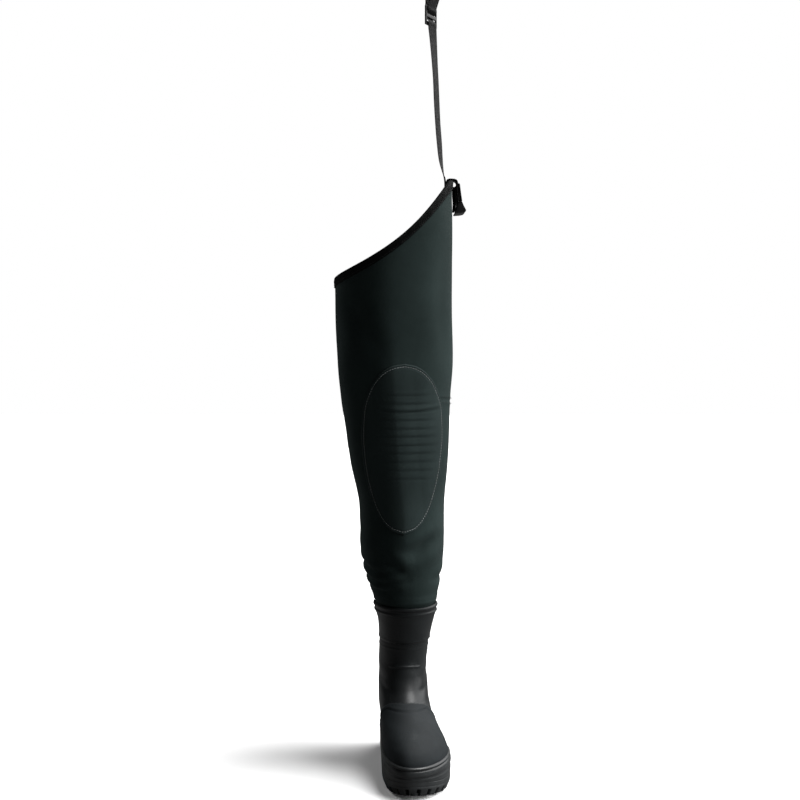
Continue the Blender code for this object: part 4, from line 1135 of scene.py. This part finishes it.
def make_slider(looks):
    """Frame of three bars with two windows, every edge rounded."""
    out, across = slider_axes()
    y, _, _, strap_x = strap_layers()
    middle = Vector((strap_x + SLIDER_SIDE, y, SLIDER_BOTTOM + SLIDER_HEIGHT / 2))
    window = (SLIDER_HEIGHT - 3 * SLIDER_BAR) / 2
    sides = [-SLIDER_WIDTH / 2, -WEBBING_WIDTH / 2 - 0.001, WEBBING_WIDTH / 2 + 0.001, SLIDER_WIDTH / 2]
    pitch = SLIDER_BAR + window
    levels = [0.0, SLIDER_BAR, pitch, pitch + SLIDER_BAR, 2 * pitch, SLIDER_HEIGHT]
    bm = bmesh.new()
    bmesh.ops.create_grid(bm, x_segments=3, y_segments=5, size=0.5)
    for vert in bm.verts:
        i, j = round((vert.co.x + 0.5) * 3), round((vert.co.y + 0.5) * 5)
        vert.co = (sides[i], levels[j] - SLIDER_HEIGHT / 2, 0)
    holes = [face for face in bm.faces if abs(face.calc_center_median().x) < 0.005
             and abs(abs(face.calc_center_median().y) - pitch / 2) < 0.002]
    bmesh.ops.delete(bm, geom=holes, context="FACES")
    push_out(bm, list(bm.faces), (0, 0, SLIDER_WALL))
    bmesh.ops.recalc_face_normals(bm, faces=bm.faces)
    corners = [edge for edge in bm.edges if abs(edge.verts[0].co.z - edge.verts[1].co.z) > 0.001]
    bmesh.ops.bevel(bm, geom=corners, offset=0.0013, segments=4, affect="EDGES", profile=0.5, material=-1)
    round_rims(bm, 0.0008)
    place = Matrix((across, Vector((0, 0, 1)), out)).transposed()
    for vert in bm.verts:
        vert.co = middle + place @ (vert.co - Vector((0, 0, SLIDER_WALL / 2)))
    bmesh.ops.recalc_face_normals(bm, faces=bm.faces)
    piece = finish_piece(bm, "slider_frame", [plastic(looks, "slider")], sharp=50)
    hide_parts("strap_slider")


def buckle_prism(bm, rows, width, start=None):
    """A side outline pushed across the buckle's width; returns its two end faces."""
    y, outside, _, _ = strap_layers()
    low = y - width / 2 if start is None else start
    verts = [bm.verts.new((outside + out - BUCKLE_TUCK, low, PEAK_HEIGHT - drop)) for out, drop in rows]
    face = bm.faces.new(verts)
    far = push_out(bm, [face], (0, width, 0))
    bmesh.ops.recalc_face_normals(bm, faces=bm.faces)
    return [face, far[0]]


# Depth of the socket's hollow sides, and the buckle's outlines: out from the leg, down from the peak
SOCKET_HOLLOW = 0.0045
BODY_ROWS = (
    (0.0062, 0.0085), (0.0070, 0.0064), (0.0112, 0.0060), (0.0122, 0.0080), (0.0142, 0.0240),
    (0.0158, 0.0345), (0.0086, 0.0370), (0.0082, 0.0300), (0.0072, 0.0180),
)
PLUG_ROWS = (
    (0.0087, 0.0376), (0.0159, 0.0351), (0.0182, 0.0410), (0.0222, 0.0484), (0.0216, 0.0506),
    (0.0190, 0.0522), (0.0140, 0.0532), (0.0050, 0.0538), (0.0042, 0.0524), (0.0060, 0.0500),
    (0.0078, 0.0440),
)
PRONG_ROWS = ((0.0096, 0.0130), (0.0112, 0.0130), (0.0120, 0.0330), (0.0104, 0.0335))


def make_buckle(looks):
    """Fastened side-release buckle: socket with recessed sides, prongs, and the plug with its lift tab."""
    finish = plastic(looks, "buckle")
    y, _, _, _ = strap_layers()
    bm = bmesh.new()
    ends = buckle_prism(bm, BODY_ROWS, BUCKLE_WIDTH)
    for face, way in zip(ends, (1, -1)):
        bmesh.ops.inset_region(bm, faces=[face], thickness=0.0014, use_even_offset=True)
        push_out(bm, [face], (0, way * SOCKET_HOLLOW, 0))
        if face.is_valid:
            bmesh.ops.delete(bm, geom=[face], context="FACES_ONLY")
    bmesh.ops.recalc_face_normals(bm, faces=bm.faces)
    sink_front(bm, 0.9, 2e-4, 0.0042, 0.0005)
    round_rims(bm, 0.00045)
    piece = finish_piece(bm, "buckle_socket", [finish], sharp=50)
    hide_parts("buckle_body")
    bm = bmesh.new()
    for way in (-1, 1):
        low = y + way * (BUCKLE_WIDTH / 2 - 0.0024) - 0.0016
        buckle_prism(bm, PRONG_ROWS, 0.0032, start=low)
    round_rims(bm, 0.0005)
    piece = finish_piece(bm, "buckle_prongs", [finish], sharp=50)
    bm = bmesh.new()
    buckle_prism(bm, PLUG_ROWS, BUCKLE_WIDTH - 0.003)
    sink_front(bm, 0.5, 1e-4, 0.0022, 0.0006)
    round_rims(bm, 0.0005)
    piece = finish_piece(bm, "buckle_tongue", [finish], sharp=50)
    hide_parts("buckle_plug")


# Materials

class Sock:
    """A shader socket that takes part in sums, so that a pattern reads as one expression."""

    def __init__(self, graph, socket):
        self.graph = graph
        self.socket = socket

    def join(self, operation, *others):
        values = {i: value for i, value in enumerate(others)}
        return self.graph.node("ShaderNodeMath", {"operation": operation}, values, 0)

    def __add__(self, other):
        return self.join("ADD", self, other)

    def __radd__(self, other):
        return self.join("ADD", other, self)

    def __sub__(self, other):
        return self.join("SUBTRACT", self, other)

    def __rsub__(self, other):
        return self.join("SUBTRACT", other, self)

    def __mul__(self, other):
        return self.join("MULTIPLY", self, other)

    def __rmul__(self, other):
        return self.join("MULTIPLY", other, self)

    def sine(self):
        return self.join("SINE", self)

    def size(self):
        return self.join("ABSOLUTE", self)

    def power(self, other):
        return self.join("POWER", self, other)

    def clamp(self):
        return self.graph.node("ShaderNodeClamp", {}, {"Value": self}, 0)

    def between(self, low, high, start=0.0, end=1.0):
        values = {"Value": self, "From Min": low, "From Max": high, "To Min": start, "To Max": end}
        return self.graph.node("ShaderNodeMapRange", {"interpolation_type": "SMOOTHSTEP"}, values, 0)


class Finish:
    """A material's graph: makes nodes, mixes colours and feeds the surface shader."""

    def __init__(self, name, **constants):
        self.material = bpy.data.materials.new(name)
        self.material.use_nodes = True
        self.tree = self.material.node_tree
        self.shader = self.tree.nodes["Principled BSDF"]
        for label, value in constants.items():
            self.shader.inputs[label.replace("_", " ")].default_value = value

    def node(self, kind, settings, values, output):
        made = self.tree.nodes.new(kind)
        for label, value in settings.items():
            setattr(made, label, value)
        for label, value in values.items():
            self.feed(made.inputs[label], value)
        return Sock(self, made.outputs[output])

    def feed(self, socket, value):
        if isinstance(value, Sock):
            self.tree.links.new(value.socket, socket)
        else:
            socket.default_value = value

    def place(self):
        return self.node("ShaderNodeTexCoord", {}, {}, "Object")

    def flat(self):
        """The piece's own map in metres: along its length round, and across."""
        spot = self.node("ShaderNodeUVMap", {"uv_map": "UVMap"}, {}, "UV")
        split = self.tree.nodes.new("ShaderNodeSeparateXYZ")
        self.feed(split.inputs[0], spot)
        return Sock(self, split.outputs["X"]), Sock(self, split.outputs["Y"])

    def height(self):
        split = self.tree.nodes.new("ShaderNodeSeparateXYZ")
        self.feed(split.inputs[0], self.place())
        return Sock(self, split.outputs["Z"])

    def layer(self):
        return self.node("ShaderNodeAttribute", {"attribute_name": "layer"}, {}, "Fac")

    def noise(self, scale, detail=3.0, roughness=0.55):
        return self.node("ShaderNodeTexNoise", {}, {"Vector": self.place(), "Scale": scale, "Detail": detail,
                                                    "Roughness": roughness}, "Fac")

    def cells(self, scale):
        return self.node("ShaderNodeTexVoronoi", {}, {"Vector": self.place(), "Scale": scale}, "Distance")

    def blend(self, share, first, second):
        made = self.tree.nodes.new("ShaderNodeMix")
        made.data_type = "RGBA"
        self.feed(made.inputs[0], share)
        self.feed(made.inputs[6], first if isinstance(first, Sock) else (*first, 1.0))
        self.feed(made.inputs[7], second if isinstance(second, Sock) else (*second, 1.0))
        return Sock(self, made.outputs[2])

    def bump(self, height, distance, strength=1.0, under=None):
        values = {"Height": height, "Distance": distance, "Strength": strength}
        if under is not None:
            values["Normal"] = under
        return self.node("ShaderNodeBump", {}, values, "Normal")

    def paint(self, **values):
        for label, value in values.items():
            self.feed(self.shader.inputs[label.replace("_", " ")], value)
        return self.material


def tint(colour, factor):
    return tuple(min(1.0, channel * factor) for channel in colour)


def boot_rubber(looks):
    """Satin moulded rubber, smoother and greyer on the vamp, with a knit lining inside."""
    f = Finish("boot_rubber_skin", Specular_IOR_Level=0.26, Coat_Roughness=0.34)
    layer = f.layer()
    cover = layer.between(0.3, 0.9)
    inside = (0 - layer).between(0.4, 0.6)
    broad = f.noise(14.0, 4.0)
    cloud = f.noise(60.0, 5.0)
    grain = f.noise(900.0, 3.0)
    pebble = f.cells(420.0)
    base = f.blend(broad.between(0.35, 0.68), looks.rubber_colour, tint(looks.rubber_colour, 1.5))
    vamp = f.blend(cloud.between(0.35, 0.7), looks.vamp_colour, tint(looks.vamp_colour, 1.25))
    colour = f.blend(cover, base, vamp)
    dust = (cloud * 0.6 + grain * 0.5).between(0.62, 0.80) * 0.25
    colour = f.blend(dust, colour, (0.06, 0.065, 0.065))
    colour = f.blend(inside, colour, (0.012, 0.012, 0.013))
    rough = 0.33 + broad.between(0.3, 0.7) * 0.10 + cloud * 0.08 + cover * 0.26 + inside * 0.4
    first = f.bump(pebble, 0.00012, 0.55)
    second = f.bump(cloud, 0.0006, 0.35, first)
    return f.paint(Base_Color=colour, Roughness=rough, Normal=f.bump(grain, 0.00006, 0.6, second),
                   Coat_Weight=(1 - inside) * (1 - cover) * 0.12)


def sole_rubber(looks, name):
    """Matt sole rubber with scuffs and dust that gather towards the ground."""
    f = Finish(name + "_rubber", Specular_IOR_Level=0.45)
    cloud = f.noise(45.0, 5.0)
    grain = f.noise(1100.0, 2.0)
    scratch = f.noise(240.0, 6.0, 0.7)
    low = 1 - f.height().between(0.002, 0.024)
    base = f.blend(cloud.between(0.35, 0.7), looks.sole_colour, tint(looks.sole_colour, 1.5))
    scuff = (scratch.between(0.56, 0.72) * (0.15 + low * 0.55)).clamp()
    colour = f.blend(scuff, base, (0.075, 0.078, 0.076))
    rough = 0.30 + cloud * 0.14 + low * 0.25 + scuff * 0.2
    return f.paint(Base_Color=colour, Roughness=rough,
                   Normal=f.bump(grain, 0.00008, 0.7, f.bump(scratch, 0.0003, 0.3)))


def insole_cloth(looks):
    """Grey cloth of the insole."""
    f = Finish("insole_cloth")
    weave = f.noise(1500.0, 2.0).between(0.3, 0.7)
    colour = f.blend(weave, (0.030, 0.031, 0.033), (0.075, 0.076, 0.08))
    return f.paint(Base_Color=colour, Roughness=0.88 + weave * 0.08, Normal=f.bump(weave, 0.0002, 0.7))


def neoprene(looks, name, colour):
    """Knit-faced neoprene: fine wales and courses over a soft, slightly uneven foam."""
    f = Finish("neoprene_" + name, Specular_IOR_Level=0.05, Sheen_Weight=0.01, Sheen_Roughness=0.5)
    u, v = f.flat()
    inside = f.layer().between(0.4, 0.6)
    broad = f.noise(9.0, 4.0)
    cloud = f.noise(70.0, 4.0)
    fuzz = f.noise(2200.0, 2.0)
    wale = (u * (2 * math.pi / looks.knit_pitch)).sine()
    course = (v * (2 * math.pi / (looks.knit_pitch * 0.8)) + wale.size() * 1.6).sine()
    knit = (wale * 0.5 + 0.5) * (course * 0.5 + 0.5)
    base = f.blend(broad.between(0.3, 0.7), colour, tint(colour, 1.35))
    base = f.blend(knit * 0.35, base, tint(colour, 2.0))
    lint = f.noise(420.0, 1.0).between(0.73, 0.80) * fuzz.between(0.45, 0.7)
    base = f.blend(lint * 0.35, base, (0.12, 0.125, 0.12))
    base = f.blend(inside, base, (0.010, 0.010, 0.011))
    rough = 0.70 + cloud * 0.12 + knit * 0.08
    soft = f.bump(cloud, 0.0005, 0.35)
    hair = f.bump(fuzz, 0.0001, 0.3, soft)
    return f.paint(Base_Color=base, Roughness=rough, Normal=f.bump(knit, 0.00016, 0.55, hair))


def tape(looks):
    """Black ribbed binding tape."""
    f = Finish("binding_tape", Specular_IOR_Level=0.10, Sheen_Weight=0.0)
    u, v = f.flat()
    rib = (u * (2 * math.pi / 0.0011)).sine() * 0.5 + 0.5
    yarn = (v * (2 * math.pi / 0.0006) + rib * 1.2).sine() * 0.5 + 0.5
    wear = f.noise(160.0, 4.0)
    weave = (rib * 0.6 + yarn * 0.3) * 0.6
    colour = f.blend(weave, tint(looks.tape_colour, 0.6), tint(looks.tape_colour, 1.8))
    colour = f.blend(wear.between(0.55, 0.8) * 0.3, colour, tint(looks.tape_colour, 3.0))
    return f.paint(Base_Color=colour, Roughness=0.62 + wear * 0.2,
                   Normal=f.bump(rib, 0.00030, 0.8, f.bump(yarn, 0.0001, 0.5)))


def webbing(looks, name):
    """Woven webbing: lengthwise cords with a slanting interlace."""
    f = Finish("webbing_" + name, Specular_IOR_Level=0.15, Sheen_Weight=0.02)
    u, v = f.flat()
    cord = (u * (2 * math.pi / 0.0021)).sine()
    pick = ((v + cord * 0.0004) * (2 * math.pi / 0.0017)).sine()
    weave = cord.size().power(0.6) * (0.55 + pick * 0.45)
    fray = f.noise(700.0, 4.0)
    colour = f.blend(weave * 0.9, tint(looks.webbing_colour, 0.45), tint(looks.webbing_colour, 1.7))
    colour = f.blend(fray.between(0.55, 0.8) * 0.35, colour, tint(looks.webbing_colour, 3.2))
    return f.paint(Base_Color=colour, Roughness=0.52 + fray * 0.22,
                   Normal=f.bump(weave, 0.00045, 0.85, f.bump(fray, 0.00012, 0.4)))


def plastic(looks, name):
    """Moulded black plastic with a fine eroded skin."""
    f = Finish("plastic_" + name, Specular_IOR_Level=0.5)
    skin = f.noise(1600.0, 3.0)
    cloud = f.noise(90.0, 4.0)
    colour = f.blend(cloud.between(0.4, 0.75), looks.plastic_colour, tint(looks.plastic_colour, 1.7))
    rough = 0.30 + cloud * 0.14 + skin * 0.08
    return f.paint(Base_Color=colour, Roughness=rough, Normal=f.bump(skin, 0.00006, 0.6))


def thread(looks, name, colour):
    f = Finish("thread_" + name, Specular_IOR_Level=0.35)
    twist = f.noise(2600.0, 2.0)
    shade = f.blend(twist.between(0.3, 0.7), tint(colour, 0.6), tint(colour, 1.25))
    return f.paint(Base_Color=shade, Roughness=0.6 + twist * 0.2, Normal=f.bump(twist, 0.00012, 0.8))


# Stage

# Whether a lamp also shows in glossy reflections is its last value
Lamp = namedtuple("Lamp", "name way spread gloss")
LAMPS = (
    Lamp("key", (1.0, -0.25, 0.40), 60, False),
    Lamp("top", (0.36, 0.04, 0.93), 26, True),
    Lamp("back", (0.80, 0.50, 0.75), 60, True),
    Lamp("fill", (-0.62, 0.95, 0.35), 20, False),
)
FLOOR_SIZE = 40.0
CAMERA_PLACE = (-0.114, -1.81, 0.568)
CAMERA_SHIFT = 0.085
WHITE = (1.0, 1.0, 1.0, 1.0)


def choose_by_ray(tree, other, seen, end):
    """Shows the camera one shader, and every other ray another one."""
    choice = tree.nodes.new("ShaderNodeMixShader")
    ray = tree.nodes.new("ShaderNodeLightPath")
    tree.links.new(ray.outputs["Is Camera Ray"], choice.inputs[0])
    tree.links.new(other.outputs[0], choice.inputs[1])
    tree.links.new(seen.outputs[0], choice.inputs[2])
    tree.links.new(choice.outputs[0], end.inputs["Surface"])


def make_floor():
    """White floor that throws little light back, because the photo's inner side is dark."""
    bm = bmesh.new()
    bmesh.ops.create_grid(bm, x_segments=1, y_segments=1, size=FLOOR_SIZE)
    mesh = bpy.data.meshes.new("floor")
    bm.to_mesh(mesh)
    bm.free()
    f = Finish("floor_paint")
    cloud = f.noise(3.0, 2.0)
    f.paint(Base_Color=f.blend(cloud, (0.95, 0.95, 0.95), (0.97, 0.97, 0.97)), Roughness=0.9)
    dark = f.tree.nodes.new("ShaderNodeBsdfDiffuse")
    dark.inputs["Color"].default_value = (0.10, 0.10, 0.10, 1.0)
    choose_by_ray(f.tree, dark, f.shader, f.tree.nodes["Material Output"])
    mesh.materials.append(f.material)
    floor = bpy.data.objects.new("floor", mesh)
    bpy.context.scene.collection.objects.link(floor)


def make_stage(looks):
    """White floor and room, light from the right and above, and the level camera of the photograph."""
    make_floor()
    scene = bpy.context.scene
    world = bpy.data.worlds.new("studio")
    world.use_nodes = True
    nodes = world.node_tree.nodes
    dim = nodes["Background"]
    dim.inputs["Color"].default_value = WHITE
    dim.inputs["Strength"].default_value = looks.room_light
    seen = nodes.new("ShaderNodeBackground")
    seen.inputs["Color"].default_value = WHITE
    choose_by_ray(world.node_tree, dim, seen, nodes["World Output"])
    scene.world = world
    for lamp in LAMPS:
        light = bpy.data.lights.new(lamp.name, "SUN")
        light.energy = getattr(looks, lamp.name + "_light")
        light.angle = math.radians(lamp.spread)
        sun = bpy.data.objects.new(lamp.name, light)
        sun.rotation_euler = Vector(lamp.way).to_track_quat("Z", "Y").to_euler()
        sun.visible_glossy = lamp.gloss
        scene.collection.objects.link(sun)
    data = bpy.data.cameras.new("camera")
    data.lens = 50
    data.sensor_width = 36
    data.shift_x = CAMERA_SHIFT
    camera = bpy.data.objects.new("camera", data)
    camera.location = CAMERA_PLACE
    camera.rotation_euler = (math.radians(90), 0, 0)
    scene.collection.objects.link(camera)
    scene.camera = camera
    scene.view_settings.view_transform = "Standard"


# Settings, operators and panel

def length_setting(name, description, value):
    return bpy.props.FloatProperty(name=name, description=description, default=value, precision=5,
                                   unit="LENGTH")


def plain_setting(name, description, value):
    return bpy.props.FloatProperty(name=name, description=description, default=value)


def colour_setting(name, description, value):
    return bpy.props.FloatVectorProperty(name=name, description=description, default=value, size=3,
                                         min=0, max=1, subtype="COLOR")


class WaderLooks(bpy.types.PropertyGroup):
    """Sizes, colours and lights that a user may change."""

    stitch_length: length_setting("Stitch length", "Length of one visible stitch", 0.0030)
    stitch_pitch: length_setting("Stitch pitch", "Distance from one stitch to the next", 0.0042)
    stitch_inset: length_setting("Stitch inset", "Distance of the pad's stitching from its edge", 0.0045)
    knit_pitch: length_setting("Knit pitch", "Distance between two wales of the neoprene's knit face", 0.0012)
    fold_depth: bpy.props.FloatProperty(name="Fold depth", description="Strength of all folds", default=1.0,
                                        min=0, max=2)
    neoprene_colour: colour_setting("Neoprene colour", "Knit face of the leg", (0.0138, 0.0204, 0.0197))
    pad_colour: colour_setting("Pad colour", "Knit face of the knee pad", (0.0172, 0.0242, 0.0238))
    rubber_colour: colour_setting("Rubber colour", "Shaft of the boot", (0.0072, 0.0083, 0.0087))
    vamp_colour: colour_setting("Vamp colour", "Cover over the toe and vamp", (0.0080, 0.0103, 0.0116))
    sole_colour: colour_setting("Sole colour", "Foxing and outsole", (0.0180, 0.0197, 0.0203))
    tape_colour: colour_setting("Tape colour", "Binding of the collar", (0.0028, 0.0030, 0.0030))
    webbing_colour: colour_setting("Webbing colour", "Strap and tab", (0.0034, 0.0034, 0.0036))
    plastic_colour: colour_setting("Plastic colour", "Buckle and slider", (0.0080, 0.0080, 0.0085))
    pad_thread_colour: colour_setting("Pad thread colour", "Stitches round the pad", (0.27, 0.29, 0.29))
    leg_thread_colour: colour_setting("Leg thread colour", "All other stitches", (0.020, 0.022, 0.022))
    key_light: plain_setting("Key light", "Strength of the light from the right", 5.0)
    top_light: plain_setting("Top light", "Strength of the light from above", 2.6)
    back_light: plain_setting("Back light", "Strength of the broad light from behind", 1.9)
    fill_light: plain_setting("Fill light", "Strength of the light on the hidden side", 1.8)
    room_light: plain_setting("Room light", "Light from all round", 0.03)


class Step:
    """What the panel's steps share: each one calls its makers with the settings."""

    makers = ()

    def execute(self, context):
        for make in self.makers:
            make(context.scene.wader_looks)
        return {"FINISHED"}


class WADER_OT_stage(Step, bpy.types.Operator):
    """Sets up the floor, the lights and the camera"""
    bl_idname = "wader.stage"
    bl_label = "Stage"
    makers = (make_stage,)


class WADER_OT_boot(Step, bpy.types.Operator):
    """Models the rubber boot with its cuff, vamp cover and heel counter"""
    bl_idname = "wader.boot"
    bl_label = "Boot"
    makers = (make_boot,)


class WADER_OT_sole(Step, bpy.types.Operator):
    """Models the foxing, the lugged outsole and the insole"""
    bl_idname = "wader.sole"
    bl_label = "Sole"
    makers = (make_foxing, make_outsole, make_insole)


class WADER_OT_leg(Step, bpy.types.Operator):
    """Models the neoprene leg with its folds and seams"""
    bl_idname = "wader.leg"
    bl_label = "Leg"
    makers = (make_leg, make_leg_stitches)


class WADER_OT_pad(Step, bpy.types.Operator):
    """Models the knee pad and its stitching"""
    bl_idname = "wader.pad"
    bl_label = "Knee pad"
    makers = (make_knee_pad, make_pad_stitches)


class WADER_OT_binding(Step, bpy.types.Operator):
    """Models the tape over the collar's edge"""
    bl_idname = "wader.binding"
    bl_label = "Collar binding"
    makers = (make_binding,)


class WADER_OT_strap(Step, bpy.types.Operator):
    """Models the hanger strap, its slider and the buckle's webbing"""
    bl_idname = "wader.strap"
    bl_label = "Strap"
    makers = (make_strap, make_slider, make_buckle_webbing)


class WADER_OT_buckle(Step, bpy.types.Operator):
    """Models the fastened side-release buckle"""
    bl_idname = "wader.buckle"
    bl_label = "Buckle"
    makers = (make_buckle,)


class WADER_PT_panel(bpy.types.Panel):
    """Lists the wader's steps and settings"""
    bl_idname = "WADER_PT_panel"
    bl_label = "Hip wader"
    bl_space_type = "VIEW_3D"
    bl_region_type = "UI"
    bl_category = "Wader"

    def draw(self, context):
        for step in STEPS:
            self.layout.operator(step.bl_idname)
        for name in WaderLooks.__annotations__:
            self.layout.prop(context.scene.wader_looks, name)


STEPS = (WADER_OT_stage, WADER_OT_boot, WADER_OT_sole, WADER_OT_leg, WADER_OT_pad, WADER_OT_binding,
         WADER_OT_strap, WADER_OT_buckle)


def register():
    for item in (WaderLooks, *STEPS, WADER_PT_panel):
        bpy.utils.register_class(item)
    bpy.types.Scene.wader_looks = bpy.props.PointerProperty(type=WaderLooks)


def unregister():
    del bpy.types.Scene.wader_looks
    for item in (WADER_PT_panel, *reversed(STEPS), WaderLooks):
        bpy.utils.unregister_class(item)


def main():
    register()
    bpy.ops.wader.stage()
    bpy.ops.wader.boot()
    bpy.ops.wader.sole()
    bpy.ops.wader.leg()
    bpy.ops.wader.pad()
    bpy.ops.wader.binding()
    bpy.ops.wader.strap()
    bpy.ops.wader.buckle()


if __name__ == "__main__":
    main()
